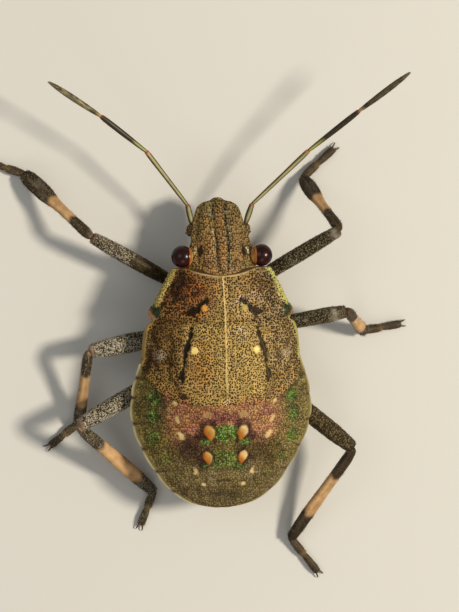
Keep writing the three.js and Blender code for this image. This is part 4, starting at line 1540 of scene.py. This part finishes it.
def eye_material():
    material, tree, shader = new_material("facetted eye")
    colour = node(tree, "ShaderNodeAttribute", {"attribute_name": "ground"}).outputs["Color"]
    place = tree.nodes.new("ShaderNodeTexCoord").outputs["Object"]
    sockets = {"Vector": place, "Scale": FACETS_PER_METRE}
    facets = node(tree, "ShaderNodeTexVoronoi", {"feature": "DISTANCE_TO_EDGE"}, sockets).outputs["Distance"]
    tint = map_range(tree, noise(tree, place, 4000.0, 3.0)["Fac"], 0.35, 0.65, 0.7, 1.3)
    tree.links.new(times(tree, colour, tint, tint, tint), shader.inputs["Base Color"])
    tree.links.new(map_range(tree, facets, 0.0, 0.1, 0.4, 0.22), shader.inputs["Roughness"])
    shader.inputs["Specular IOR Level"].default_value = 0.18
    shader.inputs["Coat Weight"].default_value = 0.1
    shader.inputs["Coat Roughness"].default_value = 0.12
    bump = node(tree, "ShaderNodeBump", None, {"Strength": 0.4, "Distance": FACET_DEPTH, "Height": facets})
    tree.links.new(bump.outputs["Normal"], shader.inputs["Normal"])
    print("eye: a facet every %.3f mm" % (1 / (FACETS_PER_METRE * MM)))
    return material


eye_finish = eye_material()


# %% Eyes
EYE = {"side": {1: 1.63, -1: 1.75}, "station": EYE_STATION, "height": 2.86, "radii": (0.46, 0.47, 0.44)}
EYE_ROWS, EYE_COLUMNS = 48, 72
EYE_TONES = {"ball": paint("1e0404"), "rear": paint("3c0e09")}
EYE_TONES.update({"lid": paint("9c5c26"), "root": paint("b08c50")})
LID_SWELL = 0.06


def eye(sign, label):
    """Rings round the line that points out of the head, from its inner end to its outer end."""
    polar = np.linspace(0.04, np.pi - 0.04, EYE_ROWS)[:, None]
    turn = np.linspace(0, 2 * np.pi, EYE_COLUMNS, endpoint=False)[None, :]
    out = -np.cos(polar) + 0 * turn
    backwards = np.sin(polar) * np.cos(turn)
    upwards = np.sin(polar) * np.sin(turn)
    x = EYE["side"][sign] + EYE["radii"][0] * out
    y = EYE["station"] + EYE["radii"][1] * backwards
    z = EYE["height"] + EYE["radii"][2] * upwards
    rings = np.stack([sign * x, y, z], -1)
    inner = fading(-0.62, -0.55, out)
    rings[..., 1:] += (rings[..., 1:] - [EYE["station"], EYE["height"]]) * (LID_SWELL * inner)[..., None]
    ground = np.zeros(rings.shape) + EYE_TONES["ball"]
    ground = mixed(ground, EYE_TONES["rear"], blend(0.2, 0.9, backwards) * 0.5)
    ground = mixed(ground, EYE_TONES["lid"], inner)
    ground = mixed(ground, EYE_TONES["root"], 0.8 * fading(-0.84, -0.76, out))
    return skin("eye_%s_ball" % label, rings, {"ground": ground})


for sign, label in ((1, "left"), (-1, "right")):
    dress(eye(sign, label), "eye", eye_finish, "eye_" + label)

# %% [markdown]
# ## Limbs
# Legs, feelers and beak are all rings along a line. A Blender curve with a bevel would give the same
# tube, but no ridges, no uneven ends and no colours along it. So the line is a Bezier curve through a few
# points, the width and thickness come from short lists, and the section can be round or squared. Colours
# run along the limb, by a value from 0 at its root to 1 at its tip.


# %% Rings along a line
LOWEST = 0.004


def bezier(points, t):
    """A Bezier curve of any order, and its direction, at values of t."""
    t = np.asarray(t, float)[:, None]
    layers = [np.asarray(points, float)[i] + 0 * t for i in range(len(points))]
    while len(layers) > 2:
        layers = [a * (1 - t) + b * t for a, b in zip(layers, layers[1:])]
    ahead = layers[1] - layers[0]
    return layers[0] * (1 - t) + layers[1] * t, ahead / np.linalg.norm(ahead, axis=1, keepdims=True)


def even_places(route, t):
    """Places on the route at shares t of its length, and the directions there."""
    fine = np.linspace(0, 1, 400)
    steps = np.linalg.norm(np.diff(bezier(route, fine)[0], axis=0), axis=1)
    passed = np.concatenate([[0], np.cumsum(steps)])
    return bezier(route, np.interp(t, passed / passed[-1], fine))


def limb_rings(route, wide, tall, rows=60, columns=28, square=2.0, shape=None, blunt=0.03):
    """Square is 2 for a round section and more for a boxy one. Blunt is the share that each end rounds."""
    t = (1 - np.cos(np.linspace(0, np.pi, rows))) / 2
    t = 0.5 * t + 0.5 * np.linspace(0, 1, rows)
    middle, ahead = even_places(route, t)
    sideways = np.cross(ahead, [0.0, 0.0, 1.0])
    sideways /= np.linalg.norm(sideways, axis=1, keepdims=True)
    lift = np.cross(sideways, ahead)
    turn = np.linspace(0, 2 * np.pi, columns, endpoint=False)[None, :]
    c, s = np.cos(turn), np.sin(turn)
    reach = (np.abs(c) ** square + np.abs(s) ** square) ** (-1 / square)
    past = np.maximum(0, 1 - np.minimum(t, 1 - t) / blunt)
    size = np.sqrt(np.clip(1 - past**2, 0.004, 1))[:, None] * reach
    along, turn = t[:, None] + 0 * turn, turn + 0 * t[:, None]
    if shape is not None:
        size = size * shape(along, turn)
    half_wide = ((spread(wide, t) / 2)[:, None] * size * c)[..., None]
    half_tall = ((spread(tall, t) / 2)[:, None] * size * s)[..., None]
    rings = middle[:, None, :] + sideways[:, None, :] * half_wide + lift[:, None, :] * half_tall
    rings[..., 2] = np.maximum(rings[..., 2], LOWEST)
    return rings, along, turn


# %% Colours along a limb
def bands(t, stops):
    """Colours along a limb: rows of (place, colour), blended in between."""
    places = [place for place, _ in stops]
    colours = np.array([paint(colour) if isinstance(colour, str) else colour for _, colour in stops])
    return np.stack([np.interp(t, places, colours[:, i]) for i in range(3)], -1)


def limb_paints(t, ground, speck, amount, gloss=0.0):
    paints = {"ground": ground, "speck": np.zeros_like(ground) + speck, "amount": amount + 0 * t}
    return {**paints, "metal": 0 * t, "gloss": gloss + 0 * t}


def limb(name, route, wide, tall, stops, speck, amount, rows, columns, gloss=0.0, blunt=0.03):
    """A plain limb piece: its skin, with bands of colour along it."""
    rings, t, _ = limb_rings(route, wide, tall, rows, columns, blunt=blunt)
    return skin(name, rings, limb_paints(t, bands(t, stops), speck, amount, gloss))


def unit(vector):
    return vector / np.linalg.norm(vector)


def sides_of(name):
    """Which pair a leg belongs to, and the sign of its side."""
    pair, label = name.split("_")
    return pair, 1 if label == "left" else -1


# %% [markdown]
# ### Legs
# The thigh is flattened, ridged and grained with pale specks, and ends in a pinkish knee. The shin is
# four-sided, dark at both ends with a broad pale band between, and on the front legs its far half widens
# to a leaf. The foot has two pieces and two hooked claws. The joints' places were read off the photo, and
# their heights were chosen so that the feet rest on the floor.

# %% Leg sizes
LEGS = {
    "front_left": {"knee": (5.29, 1.61, 2.1), "ankle": (7.98, -1.04, 0.4), "toe": (9.48, -1.56, 0.2)},
    "front_right": {"knee": (-4.95, 1.44, 3.3), "ankle": (-4.01, -0.66, 0.4), "toe": (-5.4, -1.88, 0.2)},
    "middle_left": {"knee": (5.43, 6.38, 2.1), "ankle": (5.8, 9.65, 0.4), "toe": (6.99, 10.58, 0.2)},
    "middle_right": {"knee": (-5.29, 4.88, 3.0), "ankle": (-6.63, 5.97, 0.4), "toe": (-8.29, 5.72, 0.2)},
    "hind_left": {"knee": (6.0, 9.44, 2.6), "ankle": (2.57, 12.66, 0.4), "toe": (3.12, 14.1, 0.2)},
    "hind_right": {"knee": (-5.67, 10.72, 2.45), "ankle": (-3.37, 14.84, 0.4), "toe": (-4.58, 16.38, 0.2)},
}
HIPS = {"front": (1.22, 3.95), "middle": (1.36, 5.75), "hind": (1.42, 7.2)}
HIP_HEIGHT = 1.0
THIGHS = {
    "front": ([0.34, 0.5, 0.6, 0.62, 0.58, 0.46], [0.34, 0.46, 0.5, 0.5, 0.46, 0.4]),
    "middle": ([0.34, 0.56, 0.72, 0.8, 0.74, 0.54], [0.34, 0.5, 0.56, 0.56, 0.5, 0.42]),
    "middle_right": ([0.34, 0.46, 0.56, 0.62, 0.64, 0.5], [0.34, 0.46, 0.52, 0.54, 0.5, 0.42]),
    "hind": ([0.34, 0.56, 0.7, 0.74, 0.72, 0.52], [0.34, 0.5, 0.56, 0.56, 0.5, 0.42]),
}
SHINS = {
    "front": (
        [0.3, 0.46, 0.44, 0.42, 0.42, 0.45, 0.6, 0.71, 0.72, 0.68, 0.44],
        [0.32, 0.42, 0.4, 0.36, 0.34, 0.32, 0.28, 0.26, 0.25, 0.26, 0.26],
    ),
    "front_right": (
        [0.3, 0.44, 0.42, 0.4, 0.4, 0.42, 0.52, 0.64, 0.66, 0.58, 0.38],
        [0.32, 0.42, 0.4, 0.36, 0.34, 0.32, 0.3, 0.28, 0.27, 0.27, 0.26],
    ),
    "middle": (
        [0.32, 0.44, 0.42, 0.42, 0.44, 0.48, 0.5, 0.4],
        [0.32, 0.4, 0.38, 0.36, 0.36, 0.38, 0.38, 0.32],
    ),
    "hind": (
        [0.32, 0.46, 0.45, 0.46, 0.5, 0.53, 0.5, 0.42],
        [0.34, 0.42, 0.4, 0.38, 0.38, 0.4, 0.4, 0.34],
    ),
    "hind_left": (
        [0.34, 0.52, 0.54, 0.58, 0.62, 0.62, 0.56, 0.42],
        [0.34, 0.42, 0.4, 0.38, 0.38, 0.4, 0.4, 0.34],
    ),
}
print("legs: %d" % len(LEGS))

# %% [markdown]
# ### How the legs' markings differ
# The same markings look different on each leg, because some legs are in the light and sharp and others are
# in the shade. So each leg has its own pale band, and its own strength of pale, greyish grain, which is
# partly painted sheen. Each thigh is also painted dark up to its own place, where the body's shadow ends, as
# painted shadow, and the pale grain starts there.

# %% Leg markings
# The strength of each leg's pale grain is partly painted sheen, and each thigh is painted dark, as painted
# shadow, up to the place where the grain starts.
MARKS = {
    "front_left": {"band": (0.29, 0.59), "frost": 0.75, "frost_start": 0.58},
    "front_right": {"band": (0.34, 0.62), "frost": 0.42, "frost_start": 0.3},
    "middle_left": {"band": (0.32, 0.73), "frost": 1.0, "frost_start": 0.32},
    "middle_right": {"band": (0.3, 0.8), "frost": 0.45, "frost_start": 0.3},
    "hind_left": {"band": (0.29, 0.77), "frost": 0.9, "frost_start": 0.38},
    "hind_right": {"band": (0.31, 0.71), "frost": 0.22, "frost_start": 0.3},
}
# Painted highlight: a pale ring near the knee of the two right legs, which face the light.
KNEE_HIGHLIGHT = {"middle_right": (0.9, 0.75), "front_right": (0.95, 0.45)}
NO_KNEE_HIGHLIGHT = (0.9, 0.0)
SHADED_BAND = {"middle_left": 0.78}
DARK_LEG = paint("251b0b")
DARK_SHIN = paint("32271a")
DARK_GRAIN = paint("5c4c1e")
GRAIN = paint("97907e")
SHIN_PALE = paint("a4825a")
KNEE = paint("8f705a")
FOOT_BROWN = paint("3b2f1f")
BLACK = paint("150c07")
BROWN = paint("221002")
print("frosted most: %s" % max(MARKS, key=lambda name: MARKS[name]["frost"]))


# %% Thigh
def ridged(t, turn):
    """Four low ridges along a thigh, with a row of small knobs on each."""
    knobs = 0.5 + 0.5 * np.sin(t * 95)
    return 1 + 0.06 * np.maximum(0, np.cos(4 * turn)) ** 3 * (0.5 + 0.5 * knobs) * blend(0.1, 0.3, t)


def thigh_paints(name, t, turn):
    """Dark, with pale grains and a greyish cast that are partly painted sheen. Up to the edge of the body's
    shadow the thigh stays dark, as painted shadow.
    """
    frost, start = MARKS[name]["frost"], MARKS[name]["frost_start"]
    joint = DARK_LEG + (KNEE - DARK_LEG) * frost**3
    ground = bands(t, [(0, "1c1406"), (0.3, DARK_LEG), (0.96, DARK_LEG), (0.98, joint), (1, 0.6 * joint)])
    # Painted shadow: the thigh stays dark and nearly bare of grain up to this place.
    frosted = blend(start, start + 0.04, t + 0.02 * np.sin(3 * turn))
    cloud = blend(-0.3, 0.8, uneven(3 * turn, 14 * t, 1.0, 71))
    ground = mixed(ground, paint("565040"), 0.35 * frost * cloud * frosted)
    # Painted highlight near the knee, on the right legs only.
    place, strength = KNEE_HIGHLIGHT.get(name, NO_KNEE_HIGHLIGHT)
    ring = strength * ridge(t - place, 0.03) * blend(-0.7, 0.3, uneven(4 * turn, 30 * t, 1.0, 72))
    ground = mixed(ground, paint("b4aa94"), ring)
    plain = np.minimum(0.2 + 0.85 * frost, 0.92)
    amount = (0.5 + 0.5 * frost) * (1 - plain * (1 - frosted)) * (1 - 0.8 * blend(0.96, 0.99, t))
    return limb_paints(t, ground, GRAIN * frost + DARK_GRAIN * (1 - frost), amount)


def thigh(name, pair, hip, knee):
    ahead = unit(knee - hip)
    start = hip - 0.16 * ahead
    end = knee + 0.1 * ahead
    route = [start, (start + end) / 2 + [0, 0, 0.12], end]
    wide, tall = THIGHS.get(name, THIGHS[pair])
    rings, t, turn = limb_rings(route, wide, tall, rows=90, columns=40, square=2.4, shape=ridged)
    return skin("thigh_" + name, rings, thigh_paints(name, t, turn))


# %% Shin
def grooved(t, turn):
    """A shallow groove along the upper and lower side of a shin."""
    return 1 - 0.14 * (ridge(turn - np.pi / 2, 0.32) + ridge(turn - 3 * np.pi / 2, 0.32))


def shin_paints(name, t, turn):
    """Dark at both ends, with the broad pale band between."""
    (low, high), frost = MARKS[name]["band"], MARKS[name]["frost"]
    tan = SHIN_PALE * SHADED_BAND.get(name, 1.0)
    joint = DARK_SHIN + (0.8 * KNEE - DARK_SHIN) * frost**3
    stops = [(0, joint), (0.04, DARK_SHIN), (low - 0.02, DARK_SHIN), (low + 0.02, tan)]
    stops += [(high - 0.03, tan * [0.95, 0.88, 0.8]), (high + 0.02, "2c2117"), (1, "241b12")]
    wavy = t + 0.02 * np.sin(3 * turn)
    pale = blend(low - 0.03, low + 0.02, wavy) * fading(high - 0.03, high + 0.02, wavy)
    cloud = blend(0.0, 0.9, uneven(3 * turn, 12 * t, 1.0, 73))
    ground = mixed(bands(wavy, stops), paint("8a8068"), 0.3 * frost * (1 - pale) * cloud)
    # Painted highlight: the pale band is lighter along the top of the shin.
    ground = mixed(ground, paint("c8a478"), 0.4 * pale * ridge(turn - np.pi / 2, 0.5))
    amount = (0.14 + 0.4 * frost * (name == "hind_left")) * (1 - pale)
    return limb_paints(t, ground, GRAIN * (0.4 + 0.3 * frost), amount)


def shin(name, pair, knee, ankle, before):
    ahead = unit(ankle - knee)
    neck = knee + 0.2 * before + 0.12 * ahead
    route = [knee + 0.04 * before, neck, knee + 0.35 * (ankle - knee), ankle + 0.05 * ahead]
    wide, tall = SHINS.get(name, SHINS[pair])
    rings, t, turn = limb_rings(route, wide, tall, rows=90, columns=36, square=2.9, shape=grooved)
    return skin("shin_" + name, rings, shin_paints(name, t, turn))


# %% Foot and claws
FOOT_ROOT = ([0.26, 0.34, 0.37, 0.32], [0.26, 0.3, 0.32, 0.28])
FOOT_END = ([0.22, 0.29, 0.33, 0.34, 0.3], [0.2, 0.26, 0.28, 0.28, 0.24])
FOOT_ROOT_BANDS = [(0, FOOT_BROWN), (0.8, FOOT_BROWN), (1, "6a5232")]
FOOT_END_BANDS = [(0, "6a5232"), (0.2, FOOT_BROWN), (1, "2a2016")]
CLAW = ([0.1, 0.07, 0.05, 0.015], [0.1, 0.08, 0.05, 0.015])
CLAW_BANDS = [(0, "6b4a26"), (0.5, "2a1a10"), (1, BLACK)]
MIDDLE_HEIGHT = 0.2
TOE_HEIGHT = 0.15


def foot(name, ankle, toe):
    """Two pieces: a short root and a longer end, which thickens towards the claws."""
    flat = unit((toe - ankle) * [1, 1, 0])
    middle = ankle + 0.45 * (toe - ankle)
    middle[2] = MIDDLE_HEIGHT
    toe = np.array([toe[0], toe[1], TOE_HEIGHT])
    route = [ankle - 0.02 * flat, ankle + 0.12 * flat - [0, 0, 0.16], middle + 0.05 * flat]
    root = limb("foot_root_" + name, route, *FOOT_ROOT, FOOT_ROOT_BANDS, GRAIN * 0.4, 0.25, 30, 24)
    route = [middle - 0.02 * flat, (middle + toe) / 2 + [0, 0, 0.05], toe]
    end = limb("foot_end_" + name, route, *FOOT_END, FOOT_END_BANDS, GRAIN * 0.4, 0.25, 34, 24)
    return [root, end], toe, flat


def claws(name, toe, flat):
    across = np.array([-flat[1], flat[0], 0])
    made = []
    for sign, label in ((1, "a"), (-1, "b")):
        start = toe + sign * 0.06 * across - 0.05 * flat
        rise = toe + sign * 0.15 * across + 0.18 * flat + [0, 0, 0.05]
        far = toe + sign * 0.13 * across + 0.24 * flat - [0, 0, 0.12]
        claw = "claw_%s_%s" % (name, label)
        made.append(limb(claw, [start, rise, far], *CLAW, CLAW_BANDS, BLACK, 0, 20, 12, gloss=0.15))
    return made


# %% Build the legs
for name, pose in LEGS.items():
    pair, sign = sides_of(name)
    side, station = HIPS[pair]
    hip = np.array([sign * side, station, HIP_HEIGHT])
    knee, ankle, toe = (np.array(pose[key], float) for key in ("knee", "ankle", "toe"))
    dress(thigh(name, pair, hip, knee), "thigh", limb_finish, "femur_" + name)
    dress(shin(name, pair, knee, ankle, unit(knee - hip)), "shin", limb_finish, "tibia_" + name)
    pieces, low_toe, flat = foot(name, ankle, toe)
    for piece in pieces:
        dress(piece, "foot", limb_finish, "tarsus_" + name)
    for piece in claws(name, low_toe, flat):
        dress(piece, "foot", smooth_finish, "tarsus_" + name)

# %% [markdown]
# ### Hips
# Each leg grows out of a short cone on the underside, next to the middle line. The photo can't show it,
# so it is plain, but without it the thighs would start in the air when the model is seen from the side.

# %% Hips
HIP = ([0.66, 0.68, 0.62, 0.46], [0.66, 0.66, 0.6, 0.44])
HIP_BANDS = [(0, "8f8050"), (0.8, "75683e"), (1, "4a3a22")]
for name in LEGS:
    pair, sign = sides_of(name)
    side, station = HIPS[pair]
    end = np.array([sign * (side + 0.06), station, HIP_HEIGHT - 0.02])
    start = np.array([sign * (side - 0.45), station, HIP_HEIGHT + 0.55])
    route = [start, (start + end) / 2 + [sign * 0.1, 0, -0.1], end]
    cone = limb("hip_" + name, route, *HIP, HIP_BANDS, BROWN, 0.6, 26, 32)
    dress(cone, "body_shell", limb_finish, "pronotum" if pair == "front" else "mesothorax")

# %% [markdown]
# ## Feelers and beak
# The feelers are much thinner than their solids. The first two pieces are olive yellow, and the last two are
# dark, each with a pale root and a reddish joint. The first three pieces are painted dark along their sides
# and underneath, as painted shade, so that only a stripe along the top stays pale, and the last piece of
# each feeler carries a grey painted highlight, strong on the left feeler and faint on the right. The beak
# has four pieces and lies folded back between the legs.

# %% Feeler sizes and bands
LEFT_JOINTS = [(1.08, 1.12, 2.14), (1.3, 0.3, 2.35), (3.14, -2.03, 3.1), (5.1, -3.55, 3.6)]
LEFT_JOINTS.append((7.34, -5.03, 4.0))
RIGHT_JOINTS = [(-1.2, 1.12, 2.14), (-1.44, 0.3, 2.4), (-3.71, -1.96, 3.3), (-5.74, -3.62, 4.0)]
RIGHT_JOINTS.append((-7.81, -5.24, 4.7))
FEELERS = {"left": LEFT_JOINTS, "right": RIGHT_JOINTS}
FEELER_WIDTHS = [
    [0.18, 0.24, 0.26, 0.24, 0.2],
    [0.14, 0.18, 0.19, 0.2, 0.22, 0.21],
    [0.14, 0.19, 0.22, 0.24, 0.24, 0.19],
    [0.13, 0.2, 0.24, 0.26, 0.25, 0.2, 0.08],
]
YELLOW = paint("968e60")
DARK = paint("241c10")
FEELER_BANDS = [
    [(0, "5a4a24"), (0.3, YELLOW), (0.85, YELLOW), (1, "8a4a2c")],
    [(0, "7a3a24"), (0.05, YELLOW), (0.93, YELLOW), (1, "8a3a24")],
    [(0, "8a4a2c"), (0.06, "9a9a52"), (0.24, "8a8a44"), (0.34, DARK), (0.95, DARK), (1, "7a3424")],
    [(0, "8a6a3c"), (0.06, "7a6a3c"), (0.14, DARK), (0.8, "2e2416"), (1, "4a3a20")],
]
# Painted highlight on the last piece of each feeler: grey, strong on the left one and faint on the right.
TIP_HIGHLIGHT = {"left": 0.5, "right": 0.12}


# %% Feelers
def feeler_piece(label, i):
    """Each piece reaches a little into the next, so no joint shows a gap."""
    start, end = np.array(FEELERS[label])[i : i + 2]
    ahead = unit(end - start)
    start = start - (0.03 if i > 0 else 0.0) * ahead
    end = end + (0.03 if i < 3 else 0.0) * ahead
    route = [start, (start + end) / 2 + [0, 0, 0.05 if i else 0.0], end]
    rings, t, turn = limb_rings(route, FEELER_WIDTHS[i], FEELER_WIDTHS[i], rows=70, columns=20)
    # Painted shade: the first three pieces are darkened round the sides and underneath, so only a stripe
    # along the top stays pale.
    shaded = (1 - ridge(turn - np.pi / 2, 0.45)) * (i < 3) * fading(0.93, 0.98, t)
    ground = mixed(bands(t, FEELER_BANDS[i]), DARK, 0.9 * shaded)
    # Painted highlight: grey over most of the last piece.
    tip_highlight = TIP_HIGHLIGHT[label] * (i == 3) * blend(0.1, 0.3, t)
    ground = mixed(ground, paint("9a9468"), tip_highlight * blend(-0.6, 0.6, uneven(4 * turn, 20 * t, 1.0, 81)))
    paints = limb_paints(t, ground, GRAIN * 0.5, 0.15 + 0.2 * (i == 3))
    return skin("feeler_%s_%d" % (label, i + 1), rings, paints)


for label in FEELERS:
    for i in range(4):
        dress(feeler_piece(label, i), "feeler", smooth_finish, "antenna_%s_%d" % (label, i + 1))

# %% Knobs that the feelers stand on, and the spines beside them
KNOB = [0.4, 0.54, 0.52, 0.44, 0.3]
SPINE = ([0.14, 0.1, 0.02], [0.12, 0.08, 0.02])
for label, sign in (("left", 1), ("right", -1)):
    joint = np.array(FEELERS[label][0])
    root = np.array([sign * 1.02, 1.62, 2.22])
    end = joint + 0.04 * unit(joint - root)
    route = [root, (root + end) / 2 + [sign * 0.06, 0, 0.02], end]
    stops = [(0, "30220f"), (1, "3a2a14")]
    knob = limb("feeler_knob_" + label, route, KNOB, KNOB, stops, paint("77633a"), 0.8, 40, 32, blunt=0.3)
    dress(knob, "body_shell", limb_finish, "head")
    root = np.array([sign * 1.22, 1.5, 2.3])
    tip = root + [sign * 0.2, -0.05, 0.02]
    route = [root, (root + tip) / 2, tip]
    spine = limb("head_spine_" + label, route, *SPINE, [(0, "5c482a"), (1, BROWN)], BROWN, 0, 14, 12)
    dress(spine, "body_shell", smooth_finish, "head")

# %% Beak
BEAK = [(0.0, 0.62, 1.72), (0.0, 1.5, 1.36), (0.0, 3.3, 1.16), (0.0, 5.2, 0.86), (0.0, 6.86, 0.78)]
BEAK_WIDTHS = [[0.3, 0.34, 0.32], [0.28, 0.3, 0.26], [0.24, 0.26, 0.22], [0.2, 0.2, 0.08]]
BEAK_BANDS = 3 * [[(0, "8a7040"), (0.85, "9a8450"), (1, "4a3218")]]
BEAK_BANDS += [[(0, "7a6238"), (0.5, "3a2816"), (1, BLACK)]]
for i, (widths, stops) in enumerate(zip(BEAK_WIDTHS, BEAK_BANDS)):
    start, end = np.array(BEAK[i]), np.array(BEAK[i + 1])
    route = [start, (start + end) / 2, end + 0.03 * unit(end - start)]
    piece = limb("beak_%d" % (i + 1), route, widths, widths, stops, BROWN, 0.2, 30, 20)
    dress(piece, "beak", smooth_finish, "rostrum")

# %% [markdown]
# ## Bristles
# Short, stiff hairs stand on the legs and feelers. They catch the light along each edge, which gives the
# limbs their frosted, furry outline. Blender's hair would vanish in the export, so each one is a closed,
# three-sided spike that leans towards the tip of its limb. Its patch on the map for baking lies at its
# root's place on the limb, unrolled.


# %% Roots and directions
POINTS_EACH = 7
SPREAD = 0.3


def normalised(vectors):
    return vectors / np.linalg.norm(vectors, axis=1, keepdims=True)


def roots(name, count, draw, first=0.05, last=0.98):
    """Row, column and place of each root, with the ways ahead, out and across."""
    rings, _ = SURFACES[name]
    rows, columns = rings.shape[:2]
    row = draw.uniform(first, last, count) * (rows - 1)
    low = np.clip(row.astype(int), 0, rows - 2)
    part = (row - low)[:, None]
    column = draw.integers(0, columns, count)
    root = rings[low, column] * (1 - part) + rings[low + 1, column] * part
    middle, after = rings[low].mean(1), rings[low + 1].mean(1)
    ahead = normalised(after - middle)
    out = root - (middle * (1 - part) + after * part)
    out = normalised(out - (out * ahead).sum(1, keepdims=True) * ahead)
    baked = np.stack([0.997 * column / columns, 0.997 * row / (rows - 1)], 1)
    return root, ahead, out, (low, column), baked


# %% Spikes
PATCH = [(0, 0), (0.003, 0), (0.0015, 0.003), (0, 0.0015)]
PATCH += [(0.003, 0.0015), (0.0015, 0.0015), (0.001, 0.003)]
SPIKE_LEVELS = [(1.0, 0.0, 0.0), (0.7, 0.55, 0.06)]
SPIKE_FACES = [(0, 2, 1)]
for k in range(3):
    m = (k + 1) % 3
    SPIKE_FACES += [(k, m, 3 + m), (k, 3 + m, 3 + k), (3 + k, 3 + m, 6)]
print("a spike has %d triangles" % len(SPIKE_FACES))


def spikes(root, ahead, out, long, lean, width, draw):
    """The points of each spike: two rings of three, and its tip."""
    count = len(root)
    across = np.cross(ahead, out)
    way = out + ahead * (lean * draw.uniform(0.6, 1.4, count))[:, None]
    way = normalised(way + across * draw.uniform(-SPREAD, SPREAD, count)[:, None])
    long = (long * draw.uniform(0.6, 1.3, count))[:, None]
    base = root - 0.02 * out
    points = []
    for size, reach, bend in SPIKE_LEVELS:
        for angle in 2 * math.pi * np.arange(3) / 3:
            step = ahead * math.cos(angle) + across * math.sin(angle)
            points.append(base + way * long * reach - out * long * bend + step * size * width)
    points.append(base + way * long + ahead * long * 0.12)
    points = np.stack(points, 1)
    points[..., 2] = np.maximum(points[..., 2], 0.003)
    return points


# %% Bristle builder
def bristles(name, count, long, seed, pale=0.3, lean=0.9, width=0.012):
    draw = np.random.default_rng(seed)
    root, ahead, out, at, baked = roots(name, count, draw)
    points = spikes(root, ahead, out, long, lean, width, draw).reshape(-1, 3)
    firsts = POINTS_EACH * np.arange(count)[:, None, None]
    corners = (np.array(SPIKE_FACES)[None] + firsts).reshape(-1)
    made = mesh_object("bristles_" + name, points, corners, np.full(len(corners) // 3, 3))
    patches = (baked[:, None] + np.array(PATCH)[None]).reshape(-1, 2)
    made.data.uv_layers.new(name="OFBake").data.foreach_set("uv", patches[corners].ravel())
    ground = SURFACES[name][1][at]
    tone = mixed(ground, paint("b8ae92"), np.full(count, pale))
    keep_values(made, "ground", np.repeat(tone, POINTS_EACH, 0))
    return made


bristle_finish, tree, shader = new_material("bristle")
colour = node(tree, "ShaderNodeAttribute", {"attribute_name": "ground"}).outputs["Color"]
tree.links.new(colour, shader.inputs["Base Color"])
shader.inputs["Roughness"].default_value = 0.45

# %% Grow the bristles
LEG_BRISTLES = [
    ("thigh_", "femur_", "thigh", 900, 0.075),
    ("shin_", "tibia_", "shin", 460, 0.1),
    ("foot_root_", "tarsus_", "foot", 90, 0.09),
    ("foot_end_", "tarsus_", "foot", 130, 0.09),
]
FEELER_BRISTLES = [(40, 0.045), (220, 0.055), (260, 0.065), (360, 0.075)]
total = 0
for seed, name in enumerate(LEGS):
    for part, solid, slot, count, long in LEG_BRISTLES:
        # Bristles are paler on legs with more pale grain and painted sheen.
        grown = bristles(part + name, count, long, 100 + seed, pale=0.1 + 0.55 * MARKS[name]["frost"] ** 2)
        dress(grown, slot, bristle_finish, solid + name)
        total += count
for seed, label in enumerate(FEELERS):
    for i, (count, long) in enumerate(FEELER_BRISTLES):
        grown = bristles("feeler_%s_%d" % (label, i + 1), count, long, 200 + seed, lean=1.2, width=0.007)
        dress(grown, "feeler", bristle_finish, "antenna_%s_%d" % (label, i + 1))
        total += count
print("bristles: %d" % total)
